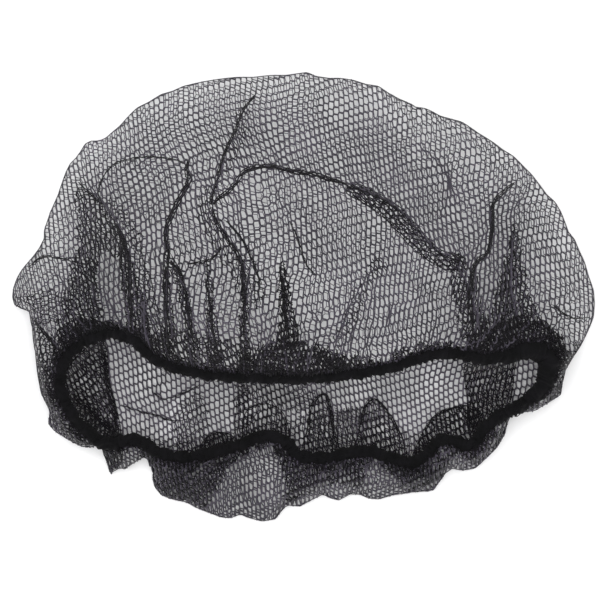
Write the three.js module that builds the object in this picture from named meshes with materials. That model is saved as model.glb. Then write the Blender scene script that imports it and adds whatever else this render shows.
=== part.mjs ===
// A hairnet: one round pouch of fine black mesh whose edge is gathered on a soft elastic band.
// It lies on a surface with its opening upwards, as it was put down.
// Millimetres, +Z up, +X to the right, +Y away from the opening, floor at Z = 0.

import * as THREE from 'three';

// Driving sizes
const netWidth = 267; // across the pouch as it lies, at its mean outline
const netDepth = 206; // from the flounce's front to the crown's back, likewise
const crownHeight = 62; // the upper layer's crest, without its folds
const flounceHeight = 15; // the same in front of the near strand
const edgeHeight = 3; // the outline's roll above the floor
const netWall = 1.2;
const bandDiameter = 6;
const bandClearance = 0.6;
const bandFarHeight = 36; // middle of the elastic at its far strand
const bandNearHeight = 9; // and at its near strand
const sideFlap = 40; // cloth from the outline's ends to the elastic
const crownShift = 70; // the cloth's middle lies this far behind the pouch's
const gatherHeight = 2.2;

// Shares and counts that shape the cloth
const floorShare = 0.8; // share of its width that the cloth keeps on the floor, in small ripples
const gatherCount = 23;
const gatherShare = 0.4; // part of the upper layer that the gathers reach over
const endShare = 0.12; // part at the rim where they fade out
const foldStartShare = 0.2; // part at the outline where the folds rise
const foldEndShare = 0.25; // part at the elastic where they end
const foldTipShare = 0.35; // height left of a fold at its two tips
const edgeSlopeShare = 0.28; // how far the outline leans in, as a share of the way to the elastic
const edgeRiseShare = 0.62; // height of that lean, as a share of the crest
const crestRiseShare = 1.36; // height of the pull over the elastic, likewise
const bandEaseShare = 0.42; // length of that pull, as a share of the way
const nearPitch = 0.35; // angle at which the cloth meets the near strand, in radians
const farPitch = 0.95; // and the far strand
const domeSharpness = 1.7;
const loopEndTurn = 0.46; // turn of the cloth's edge, in radians, that meets the loop's ends
const evenStepShare = 0.012; // step along the loop over which its small bends are evened out
const bottomRings = [0.3, 0.56, 0.78, 0.93];
const upperRings = 22;
const sectorCount = 4 * gatherCount;
const bandSides = 8;
const foldSteps = 16;

// The outline seen from above: a row for each crest and each dip, its angle in degrees from the
// right-hand end and its reach as a share of the ellipse of netWidth by netDepth.
const outlineRows = [
  { angle: 20, reach: 0.978 },
  { angle: 34, reach: 0.975 },
  { angle: 63, reach: 0.937 },
  { angle: 91, reach: 0.995 },
  { angle: 104, reach: 0.987 },
  { angle: 120, reach: 0.993 },
  { angle: 131, reach: 0.98 },
  { angle: 140, reach: 1.0 },
  { angle: 152, reach: 0.957 },
  { angle: 164, reach: 0.928 },
  { angle: 180, reach: 1.006 },
  { angle: 188, reach: 0.952 },
  { angle: 199, reach: 0.975 },
  { angle: 216, reach: 1.07 },
  { angle: 225, reach: 1.025 },
  { angle: 231, reach: 1.058 },
  { angle: 237, reach: 0.955 },
  { angle: 244, reach: 1.05 },
  { angle: 256, reach: 1.058 },
  { angle: 263, reach: 1.048 },
  { angle: 276, reach: 0.942 },
  { angle: 297, reach: 1.015 },
  { angle: 303, reach: 0.966 },
  { angle: 309, reach: 1.018 },
  { angle: 320, reach: 0.946 },
  { angle: 332, reach: 1.018 },
  { angle: 340, reach: 1.0 },
  { angle: 353, reach: 1.031 },
];

// The elastic's loop seen from above, from its right-hand end along the far strand to the left and
// back along the near strand: a row for each bend, as shares of half the width and half the depth.
// Its lift is 0 at the near strand's height and 1 at the far strand's.
const bandRows = [
  { across: 0.861, along: -0.342, lift: 0.45 },
  { across: 0.848, along: -0.276, lift: 0.5 },
  { across: 0.792, along: -0.257, lift: 0.6 },
  { across: 0.694, along: -0.288, lift: 0.75 },
  { across: 0.632, along: -0.293, lift: 0.82 },
  { across: 0.521, along: -0.27, lift: 0.9 },
  { across: 0.451, along: -0.279, lift: 0.95 },
  { across: 0.32, along: -0.33, lift: 1.0 },
  { across: 0.069, along: -0.378, lift: 1.0 },
  { across: -0.156, along: -0.378, lift: 1.0 },
  { across: -0.354, along: -0.356, lift: 1.0 },
  { across: -0.486, along: -0.306, lift: 0.95 },
  { across: -0.58, along: -0.207, lift: 0.85 },
  { across: -0.66, along: -0.183, lift: 0.72 },
  { across: -0.743, along: -0.216, lift: 0.58 },
  { across: -0.808, along: -0.29, lift: 0.48 },
  { across: -0.834, along: -0.39, lift: 0.4 },
  { across: -0.812, along: -0.51, lift: 0.32 },
  { across: -0.743, along: -0.626, lift: 0.24 },
  { across: -0.665, along: -0.684, lift: 0.18 },
  { across: -0.576, along: -0.667, lift: 0.12 },
  { across: -0.48, along: -0.73, lift: 0.04 },
  { across: -0.399, along: -0.748, lift: 0.0 },
  { across: -0.26, along: -0.71, lift: 0.03 },
  { across: -0.107, along: -0.649, lift: 0.12 },
  { across: -0.052, along: -0.676, lift: 0.1 },
  { across: -0.01, along: -0.732, lift: 0.03 },
  { across: 0.06, along: -0.752, lift: 0.0 },
  { across: 0.235, along: -0.72, lift: 0.02 },
  { across: 0.385, along: -0.772, lift: 0.0 },
  { across: 0.441, along: -0.734, lift: 0.04 },
  { across: 0.49, along: -0.667, lift: 0.12 },
  { across: 0.595, along: -0.689, lift: 0.12 },
  { across: 0.66, along: -0.59, lift: 0.2 },
  { across: 0.799, along: -0.482, lift: 0.3 },
  { across: 0.848, along: -0.412, lift: 0.38 },
];

// The crown's folds seen from above, each an arc of three points in shares of half the width and
// half the depth. Its half width is a share of netDepth and its rise one of crownHeight, less than 0
// where it dips.
const foldRows = [
  { name: 'back', from: [-0.15, 0.9], bend: [-0.26, 0.62], to: [-0.3, 0.38], half: 0.046, rise: 0.09 },
  { name: 'middle', from: [-0.3, 0.38], bend: [-0.2, 0.14], to: [-0.19, -0.2], half: 0.046, rise: 0.1 },
  { name: 'arch rise', from: [-0.3, 0.38], bend: [-0.13, 0.61], to: [0.16, 0.48], half: 0.046, rise: 0.11 },
  { name: 'arch lap', from: [0.16, 0.48], bend: [0.42, 0.36], to: [0.54, 0.14], half: 0.053, rise: 0.14 },
  { name: 'arch fall', from: [0.54, 0.14], bend: [0.6, -0.03], to: [0.59, -0.2], half: 0.042, rise: 0.12 },
  { name: 'left', from: [-0.36, 0.65], bend: [-0.4, 0.45], to: [-0.44, 0.3], half: 0.04, rise: 0.08 },
  { name: 'left run', from: [-0.44, 0.3], bend: [-0.47, 0], to: [-0.45, -0.25], half: 0.04, rise: 0.1 },
  { name: 'branch', from: [-0.44, 0.14], bend: [-0.38, 0], to: [-0.36, -0.22], half: 0.034, rise: 0.08 },
  { name: 'right', from: [0.75, 0.49], bend: [0.63, 0.4], to: [0.65, 0.2], half: 0.045, rise: 0.11 },
  { name: 'right dip', from: [0.74, 0.29], bend: [0.71, 0.05], to: [0.76, -0.19], half: 0.053, rise: -0.13 },
  { name: 'left dip', from: [-0.73, 0.45], bend: [-0.73, 0.1], to: [-0.73, -0.16], half: 0.055, rise: -0.12 },
  { name: 'left rib', from: [-0.64, 0.32], bend: [-0.58, 0.14], to: [-0.58, -0.13], half: 0.04, rise: 0.07 },
  { name: 'centre', from: [-0.04, 0.41], bend: [-0.03, 0.15], to: [0.1, 0.04], half: 0.042, rise: 0.07 },
  { name: 'centre run', from: [0.27, 0.14], bend: [0.17, -0.04], to: [0.1, -0.25], half: 0.042, rise: 0.09 },
  { name: 'broad', from: [0.38, 0.69], bend: [0.49, 0.57], to: [0.56, 0.4], half: 0.055, rise: 0.08 },
];

const fullTurn = 2 * Math.PI;
const halfWidth = netWidth / 2;
const halfDepth = netDepth / 2;
const bandRadius = bandDiameter / 2;
const up = new THREE.Vector3(0, 0, 1);

const mix = (a, b, t) => a + (b - a) * t;
const soft = (t) => {
  const s = Math.min(1, Math.max(0, t));
  return s * s * (3 - 2 * s);
};

// Reach of the outline at an angle: the rows joined by half waves
function outlineReach(angle) {
  const degrees = ((angle * 180) / Math.PI + 360) % 360;
  const after = outlineRows.findIndex((row) => row.angle > degrees);
  const next = outlineRows[after < 0 ? 0 : after];
  const last = outlineRows.at(after <= 0 ? -1 : after - 1);
  const span = (next.angle - last.angle + 360) % 360;
  const along = (degrees - last.angle + 360) % 360;
  return mix(last.reach, next.reach, soft(along / span));
}

// The elastic's middle line
const bandLine = new THREE.CatmullRomCurve3(
  bandRows.map((row) => {
    const height = mix(bandNearHeight, bandFarHeight, row.lift);
    return new THREE.Vector3(row.across * halfWidth, row.along * halfDepth, height);
  }),
  true,
  'centripetal',
);
bandLine.arcLengthDivisions = 1200;

// The cloth is a round disc. The part of it that lies on the floor is an ellipse, off its middle,
// and a ray from the ellipse's middle at a given angle runs on to the disc's edge.
const floorHalfWidth = halfWidth / floorShare;
const clothRadius = Math.hypot(floorHalfWidth + sideFlap, crownShift);

function clothRay(turn) {
  const dx = Math.cos(turn);
  const dy = Math.sin(turn);
  const ellipseAngle = Math.atan2(dy / halfDepth, dx / floorHalfWidth);
  const reach = dy * crownShift + Math.sqrt(clothRadius ** 2 - (dx * crownShift) ** 2);
  const edgeAngle = Math.atan2(reach * dy - crownShift, reach * dx);
  return { ellipseAngle, edgeAngle };
}

// The disc's edge is gathered more tightly along the far strand, so that the loop's two ends take
// the cloth that lies beside them
function loopShare(edgeAngle) {
  const ease = (angle) => Math.cos(angle) * (1 - 0.5 * Math.sin(angle) ** 2);
  const turn = edgeAngle + (loopEndTurn / ease(loopEndTurn)) * ease(edgeAngle);
  return (turn / fullTurn + 1) % 1;
}

// Level direction away from the loop's inside, at a share of its length
function outwardAt(share) {
  const tangent = bandLine.getTangentAt((share + 1) % 1);
  return new THREE.Vector3(tangent.y, -tangent.x, 0).normalize();
}

// The same with the loop's small bends evened out
function evenOutwardAt(share) {
  const sum = new THREE.Vector3();
  for (let k = -3; k <= 3; k += 1) sum.add(outwardAt(share + k * evenStepShare));
  return sum.normalize();
}

// One sector: its point on the outline and the four points that bend its upper layer to the elastic
function makeSector(index) {
  const { ellipseAngle, edgeAngle } = clothRay((index / sectorCount) * fullTurn);
  const reach = outlineReach(ellipseAngle);
  const edgeX = halfWidth * Math.cos(ellipseAngle);
  const edgeY = halfDepth * Math.sin(ellipseAngle);
  const outline = new THREE.Vector3(reach * edgeX, reach * edgeY, edgeHeight);
  const share = loopShare(edgeAngle);
  const seat = bandLine.getPointAt(share);
  const tangent = bandLine.getTangentAt(share);
  const farness = (1 + Math.sin(edgeAngle)) / 2;
  const pitch = mix(nearPitch, farPitch, farness);
  const pitched = (way) => way.multiplyScalar(Math.cos(pitch)).addScaledVector(up, Math.sin(pitch));
  const seatWay = pitched(outwardAt(share));
  const rim = seat.clone().addScaledVector(seatWay, bandRadius + bandClearance);
  const toOutline = outline.clone().sub(seat).setZ(0);
  const length = toOutline.length();
  const rayWay = toOutline.normalize();
  const easyWay = pitched(evenOutwardAt(share).add(rayWay).normalize());
  const top = mix(flounceHeight, crownHeight, soft(farness) ** domeSharpness);
  const rise = outline.clone().addScaledVector(rayWay, -edgeSlopeShare * length);
  rise.z += edgeRiseShare * top;
  const fall = rim.clone().addScaledVector(easyWay, bandEaseShare * length);
  fall.z = Math.max(fall.z, crestRiseShare * top);
  const bends = new THREE.CubicBezierCurve3(outline, rise, fall, rim);
  const rimNormal = seatWay.clone().cross(tangent).normalize();
  return { index, edgeX, edgeY, outline, bends, seat, tangent, rimNormal };
}

// Height that the folds add at a place of the upper layer, seen from above
const foldArcs = foldRows.map((row) => {
  const place = ([across, along]) => new THREE.Vector2(across * halfWidth, along * halfDepth);
  const arc = new THREE.QuadraticBezierCurve(place(row.from), place(row.bend), place(row.to));
  return { ...row, points: arc.getPoints(foldSteps) };
});

function foldHeight(x, y) {
  let height = 0;
  for (const fold of foldArcs) {
    let best = { distance: Infinity, at: 0 };
    fold.points.forEach((point, i) => {
      const distance = Math.hypot(point.x - x, point.y - y);
      if (distance < best.distance) best = { distance, at: i / foldSteps };
    });
    const fade = Math.exp(-((best.distance / (fold.half * netDepth)) ** 2));
    const taper = mix(foldTipShare, 1, Math.sin(Math.PI * best.at));
    height += fold.rise * crownHeight * fade * taper;
  }
  return height;
}

// Middle surface of the cloth: rings from the floor's middle out to the outline, then back over
// the top to the elastic
const sectors = Array.from({ length: sectorCount }, (_, index) => makeSector(index));

function floorPoint(sector, share) {
  const pull = share ** 2;
  const x = mix(sector.edgeX, sector.outline.x, pull) * share;
  const y = mix(sector.edgeY, sector.outline.y, pull) * share;
  return new THREE.Vector3(x, y, netWall / 2);
}

function upperPoint(sector, share) {
  const point = sector.bends.getPoint(share);
  const toRim = 1 - share;
  point.z += soft(share / foldStartShare) * soft(toRim / foldEndShare) * foldHeight(point.x, point.y);
  const gather = Math.cos((sector.index / sectorCount) * gatherCount * fullTurn);
  point.z += gatherHeight * gather * soft(1 - toRim / gatherShare) * soft(toRim / endShare);
  return share < 1 ? clearOfBand(point) : point;
}

// A point of the cloth, moved straight away from the elastic where it would come too near
function clearOfBand(point) {
  const room = bandRadius + bandClearance + netWall / 2;
  let nearest = sectors[0].seat;
  for (const { seat } of sectors) {
    if (seat.distanceTo(point) < nearest.distanceTo(point)) nearest = seat;
  }
  const away = point.clone().sub(nearest);
  const distance = away.length();
  return distance < room ? point.addScaledVector(away, room / distance - 1) : point;
}

const rings = bottomRings.map((share) => sectors.map((sector) => floorPoint(sector, share)));
for (let k = 0; k <= upperRings; k += 1) {
  rings.push(sectors.map((sector) => upperPoint(sector, k / upperRings)));
}

// Outward normal of the middle surface at a ring's sector. The floor's rings face straight down,
// and at the rim the cloth's end squarely faces the elastic.
function outwardNormal(ring, index) {
  if (ring < bottomRings.length) return up.clone().negate();
  if (ring === rings.length - 1) return sectors[index].rimNormal;
  const before = rings[ring - 1][index];
  const after = rings[ring + 1][index];
  const left = rings[ring][(index + sectorCount - 1) % sectorCount];
  const right = rings[ring][(index + 1) % sectorCount];
  return right.clone().sub(left).cross(after.clone().sub(before)).normalize();
}

// A closed solid from grids of points: an outer skin, an inner skin and the strip at the rim
function pouchGeometry() {
  const positions = [];
  const faces = [];
  const addSkin = (side) => {
    const start = positions.length / 3;
    positions.push(0, 0, netWall / 2 - side * (netWall / 2));
    rings.forEach((ring, r) => {
      ring.forEach((point, index) => {
        const place = point.clone().addScaledVector(outwardNormal(r, index), (side * netWall) / 2);
        positions.push(place.x, place.y, place.z);
      });
    });
    return (r, index) => start + 1 + r * sectorCount + (index % sectorCount);
  };
  const outer = addSkin(1);
  const inner = addSkin(-1);
  const quad = (a, b, c, d) => faces.push(a, b, c, a, c, d);
  for (let i = 0; i < sectorCount; i += 1) {
    faces.push(outer(0, 0) - 1, outer(0, i + 1), outer(0, i));
    faces.push(inner(0, 0) - 1, inner(0, i), inner(0, i + 1));
    for (let r = 0; r < rings.length - 1; r += 1) {
      quad(outer(r, i), outer(r, i + 1), outer(r + 1, i + 1), outer(r + 1, i));
      quad(inner(r, i), inner(r + 1, i), inner(r + 1, i + 1), inner(r, i + 1));
    }
    const last = rings.length - 1;
    quad(outer(last, i), outer(last, i + 1), inner(last, i + 1), inner(last, i));
  }
  return closedGeometry(positions, faces);
}

// The elastic: a round section carried along its loop, with a step at each sector of the net
function bandGeometry() {
  const positions = [];
  const faces = [];
  for (const { seat, tangent } of sectors) {
    const side = tangent.clone().cross(up).normalize();
    const over = side.clone().cross(tangent).normalize();
    for (let k = 0; k < bandSides; k += 1) {
      const angle = ((k + 0.5) / bandSides) * fullTurn;
      const place = seat.clone();
      place.addScaledVector(side, bandRadius * Math.cos(angle));
      place.addScaledVector(over, bandRadius * Math.sin(angle));
      positions.push(place.x, place.y, place.z);
    }
  }
  const at = (i, k) => (i % sectorCount) * bandSides + (k % bandSides);
  for (let i = 0; i < sectorCount; i += 1) {
    for (let k = 0; k < bandSides; k += 1) {
      faces.push(at(i, k), at(i + 1, k), at(i + 1, k + 1), at(i, k), at(i + 1, k + 1), at(i, k + 1));
    }
  }
  return closedGeometry(positions, faces);
}

function closedGeometry(positions, faces) {
  const geometry = new THREE.BufferGeometry();
  geometry.setAttribute('position', new THREE.Float32BufferAttribute(positions, 3));
  geometry.setIndex(faces);
  geometry.computeVertexNormals();
  return geometry;
}

const netMaterial = new THREE.MeshStandardMaterial({ color: 0x2a282d, roughness: 0.75, metalness: 0 });
const elasticMaterial = new THREE.MeshStandardMaterial({ color: 0x141418, roughness: 0.85, metalness: 0 });

const netCrown = new THREE.Mesh(pouchGeometry(), netMaterial);
netCrown.name = 'net_crown';
const elasticBand = new THREE.Mesh(bandGeometry(), elasticMaterial);
elasticBand.name = 'elastic_band';

const hairnet = new THREE.Group();
hairnet.add(netCrown, elasticBand);

// The floor's middle under the whole thing is the origin
const box = new THREE.Box3().setFromObject(hairnet);
hairnet.position.set(-(box.min.x + box.max.x) / 2, -(box.min.y + box.max.y) / 2, 0);

export default hairnet;
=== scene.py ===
# A black hairnet, put down on a white table with its opening upwards and seen from straight above.
# Plan lengths are millimetres, +X to the right and +Y from the opening to the crown's back.
# They become metres where a mesh is made.

import math

import bpy
import numpy as np
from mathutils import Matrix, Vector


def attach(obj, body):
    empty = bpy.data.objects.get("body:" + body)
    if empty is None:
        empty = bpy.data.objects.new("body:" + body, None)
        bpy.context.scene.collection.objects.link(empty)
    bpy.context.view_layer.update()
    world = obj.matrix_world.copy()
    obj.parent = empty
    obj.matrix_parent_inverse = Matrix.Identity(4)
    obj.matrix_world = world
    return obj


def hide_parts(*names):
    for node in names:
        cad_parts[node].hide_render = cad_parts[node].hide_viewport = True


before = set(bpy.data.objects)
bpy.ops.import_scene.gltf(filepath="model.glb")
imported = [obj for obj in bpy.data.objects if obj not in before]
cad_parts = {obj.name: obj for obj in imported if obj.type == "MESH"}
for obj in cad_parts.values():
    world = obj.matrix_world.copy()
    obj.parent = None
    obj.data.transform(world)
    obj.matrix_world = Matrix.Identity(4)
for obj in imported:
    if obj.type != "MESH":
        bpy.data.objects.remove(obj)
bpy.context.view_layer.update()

# The pouch's own shape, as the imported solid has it
pouch = {
    "width": 267.0,
    "depth": 206.0,
    "crownHeight": 62.0,
    "flounceHeight": 15.0,
    "edgeHeight": 3.0,
    "bandRadius": 3.0,
    "bandClearance": 0.6,
    "bandFarHeight": 36.0,
    "bandNearHeight": 9.0,
    "sideFlap": 40.0,
    "crownShift": 70.0,
    "lateralEase": 0.8,
    "edgeSlope": 0.28,
    "edgeRise": 0.62,
    "crestRise": 1.36,
    "bandEase": 0.42,
    "nearPitch": 0.35,
    "farPitch": 0.95,
    "domeSharpness": 1.7,
    "loopEndTurn": 0.46,
    "evenStep": 0.012,
    "swellTip": 0.35,  # height of a swell at its tips, as a share of the height in its middle
    "swellEase": (0.2, 0.25),  # share of a ray over which the swells rise and fall
    "setDown": (-1.23, 2.15),  # shift that puts the middle of its box over the origin
}

# Outline, read off the photograph (600 by 600), from the top round by the left: its pixels,
# x and y in turn
rimPoints = [
    300, 72, 286, 74, 272, 74, 253, 76, 236, 76, 218, 78, 200, 81, 183, 85, 172, 90, 161, 93, 148, 101, 136,
    107, 128, 115, 119, 125, 105, 137, 98, 140, 90, 140, 84, 143, 80, 150, 75, 157, 69, 163, 65, 171, 61, 182,
    57, 194, 53, 203, 49, 212, 46, 221, 43, 230, 43, 238, 38, 248, 32, 256, 26, 263, 21, 269, 16, 277, 12,
    288, 11, 297, 13, 304, 19, 308, 28, 311, 29, 319, 31, 328, 32, 341, 34, 352, 35, 363, 38, 384, 40, 394,
    45, 404, 49, 412, 47, 424, 54, 432, 67, 440, 80, 447, 92, 448, 99, 444, 102, 452, 106, 463, 110, 475, 117,
    469, 125, 469, 133, 463, 143, 457, 149, 461, 149, 466, 153, 470, 152, 480, 155, 489, 161, 496, 172, 500,
    186, 503, 197, 509, 210, 514, 221, 518, 230, 519, 240, 515, 250, 519, 262, 522, 275, 520, 281, 512, 287,
    506, 300, 507, 311, 501, 323, 495, 331, 499, 339, 501, 350, 495, 360, 495, 369, 499, 379, 500, 392, 496,
    412, 493, 434, 491, 439, 484, 446, 474, 453, 469, 463, 471, 476, 469, 488, 458, 498, 448, 505, 436, 509,
    422, 512, 416, 522, 413, 536, 411, 548, 404, 562, 395, 564, 383, 567, 370, 574, 358, 582, 346, 589, 332,
    595, 317, 596, 303, 595, 290, 590, 276, 586, 262, 580, 249, 576, 239, 570, 232, 566, 221, 562, 211, 556,
    201, 548, 194, 540, 183, 533, 174, 526, 167, 514, 155, 504, 149, 495, 142, 479, 132, 463, 121, 452, 118,
    441, 115, 432, 110, 425, 107, 416, 106, 412, 103, 400, 98, 389, 92, 379, 85, 366, 83, 354, 79, 341, 77,
    329, 77, 316, 75, 307, 71,
]
photoScale = 0.464  # millimetres in the plan for one of the photograph's pixels
photoMiddle = (300, 292)  # pixel over the middle of the plan

# Elastic's loop: shares of half the width and half the depth, and lift from its near to its far height
bandRows = [
    (0.861, -0.342, 0.45), (0.848, -0.276, 0.5), (0.792, -0.257, 0.6), (0.694, -0.288, 0.75),
    (0.632, -0.293, 0.82), (0.521, -0.27, 0.9), (0.451, -0.279, 0.95), (0.32, -0.33, 1.0),
    (0.069, -0.378, 1.0), (-0.156, -0.378, 1.0), (-0.354, -0.356, 1.0), (-0.486, -0.306, 0.95),
    (-0.58, -0.207, 0.85), (-0.66, -0.183, 0.72), (-0.743, -0.216, 0.58), (-0.808, -0.29, 0.48),
    (-0.834, -0.39, 0.4), (-0.812, -0.51, 0.32), (-0.743, -0.626, 0.24), (-0.665, -0.684, 0.18),
    (-0.576, -0.667, 0.12), (-0.48, -0.73, 0.04), (-0.399, -0.748, 0.0), (-0.26, -0.71, 0.03),
    (-0.107, -0.649, 0.12), (-0.052, -0.676, 0.1), (-0.01, -0.732, 0.03), (0.06, -0.752, 0.0),
    (0.235, -0.72, 0.02), (0.385, -0.772, 0.0), (0.441, -0.734, 0.04), (0.49, -0.667, 0.12),
    (0.595, -0.689, 0.12), (0.66, -0.59, 0.2), (0.799, -0.482, 0.3), (0.848, -0.412, 0.38),
]

# Big swells of the crown, as the solid has them: three points in shares, half width, rise
swellRows = [
    ((-0.15, 0.9), (-0.26, 0.62), (-0.3, 0.38), 0.046, 0.09),
    ((-0.3, 0.38), (-0.2, 0.14), (-0.19, -0.2), 0.046, 0.1),
    ((-0.3, 0.38), (-0.13, 0.61), (0.16, 0.48), 0.046, 0.11),
    ((0.16, 0.48), (0.42, 0.36), (0.54, 0.14), 0.053, 0.14),
    ((0.54, 0.14), (0.6, -0.03), (0.59, -0.2), 0.042, 0.12),
    ((-0.36, 0.65), (-0.4, 0.45), (-0.44, 0.3), 0.04, 0.08),
    ((-0.44, 0.3), (-0.47, 0.0), (-0.45, -0.25), 0.04, 0.1),
    ((-0.44, 0.14), (-0.38, 0.0), (-0.36, -0.22), 0.034, 0.08),
    ((0.75, 0.49), (0.63, 0.4), (0.65, 0.2), 0.045, 0.11),
    ((0.74, 0.29), (0.71, 0.05), (0.76, -0.19), 0.053, -0.13),
    ((-0.73, 0.45), (-0.73, 0.1), (-0.73, -0.16), 0.055, -0.12),
    ((-0.64, 0.32), (-0.58, 0.14), (-0.58, -0.13), 0.04, 0.07),
    ((-0.04, 0.41), (-0.03, 0.15), (0.1, 0.04), 0.042, 0.07),
    ((0.27, 0.14), (0.17, -0.04), (0.1, -0.25), 0.042, 0.09),
    ((0.38, 0.69), (0.49, 0.57), (0.56, 0.4), 0.055, 0.08),
]

# The mesh: a honeycomb of upright cells, and the strands it is knitted from
mesh = {
    "column": 2.0,  # from one column of cells to the next, before the folds draw on the cloth
    "widening": 0.0012,  # of the columns towards the right, for each of them
    "period": 3.95,  # from one cell to the next in a column
    "columnRise": 0.88,  # of the next column to the right
    "leftRise": 0.004,  # more of it towards the left
    "waviness": 0.07,  # sideways swing of a column's knots, as a share of the column
    "leanPlaces": (-110.0, -95.0, 0.0, 80.0, 120.0),
    "leans": (0.17, 0.156, 0.03, -0.035, -0.05),  # sideways run of a column per length
    "leanLevel": -60.0,  # level at which the columns are spaced evenly
    "seed": 5,
    "jitter": 0.12,
    "bluntest": 0.55,  # keeps a knot's corners in between two strands that lie almost in line
    "loneTurns": (0.1, 2.2, 4.3),  # of a knot's bare sides
    "warps": ((1.7, 92.0, 0.4), (0.9, 51.0, 2.1), (0.4, 27.0, 4.4)),  # size, wavelength, phase
    "liftEase": 5.0,  # how far from the elastic the folds' lips stand up
    "drift": 2.6,  # slide of the upper layer over the lower
    "driftReach": 30.0,
    "driftWaves": ((31, 1.1), (23, 0.3), (27, 2.4), (35, 1.9)),  # length for a radian, and phase
    "rollRadius": 1.5,  # of the outline's roll
    "rollHeight": 1.5,
    "rollReach": 1.2,  # how far in from the roll the layers come to their own heights
    "endGap": 0.3,  # between the outline and what is tucked in
    "floorHeight": 0.45,
    "floorSize": (1.1, 0.86),  # of the lower layer's cells against the upper's, across and along
    "lowerDrift": 1.3,  # slide of the lower layer in slow waves, where it lies hidden
    "floorRipple": 1.7,  # mean height of the lower layer's ripples off the table
    "lowest": 0.9,  # least height of what is tucked into the crown
    "mouthRise": 5.0,  # how far from the elastic the mouth's tucks come up to it
    "underBand": 1.5,  # depth under its middle at which they end
    "hiddenReach": 12.0,  # from the elastic and the outline to where the lower layer slides freely
    "rippleReach": 9.0,  # from the outline to the ripples' full height
    "rollHold": 6.0,  # from the outline to where nothing rolls
}

# Thickness of the strands. They are drawn stouter than real ones, as the photograph shows them:
# fuzzy in the upper layer and in the mouth, and faint where the lower layer lies under the crown.
thread = {
    "crown": 0.62, "rim": 0.4, "flounce": 0.62, "mouth": 0.76, "underCrown": 0.3, "underFlounce": 0.5,
    "tuck": 0.44, "shade": 0.34, "roll": 0.4, "edge": 0.36,
    "rimReach": 28.0, "bandReach": 6.0,  # distances over which the thickness changes
    "crownFrom": -0.55, "crownEase": 0.2,  # as shares of half the depth: where the crown begins
}

# Folds, with their places read off the photograph.
# depth: how much cloth is tucked in; crease: how sharply; reach: how far it draws the cloth in;
# lift: how far one lip stands over the other. All four are millimetres.
# ease: how far in from the outline the fold has its whole depth.
thin = {"depth": 1.2, "crease": 1.2, "reach": 22.0, "lift": 1.2, "ease": 6.0}
faint = {"depth": 0.8, "crease": 0.9, "reach": 14.0, "lift": 0.7, "ease": 5.0}
lap = {"depth": 1.6, "crease": 1.4, "reach": 30.0, "lift": 1.5, "ease": 16.0}

fold = {
    "room": 2.0,  # how far beside its line a fold moves anything, in reaches
    "ending": (1.2, 0.15),  # how far it runs on past its tips, in creases and in reaches
    "edgeGap": 0.5,
    "lip": 3.0,  # width of the lifted lip, in creases
    "tips": (0.18, 0.18),  # shares of its length over which it grows from either tip
    "small": (6.0, 4.0),  # reach of a chance crease: so many creases and so many millimetres more
}

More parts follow.
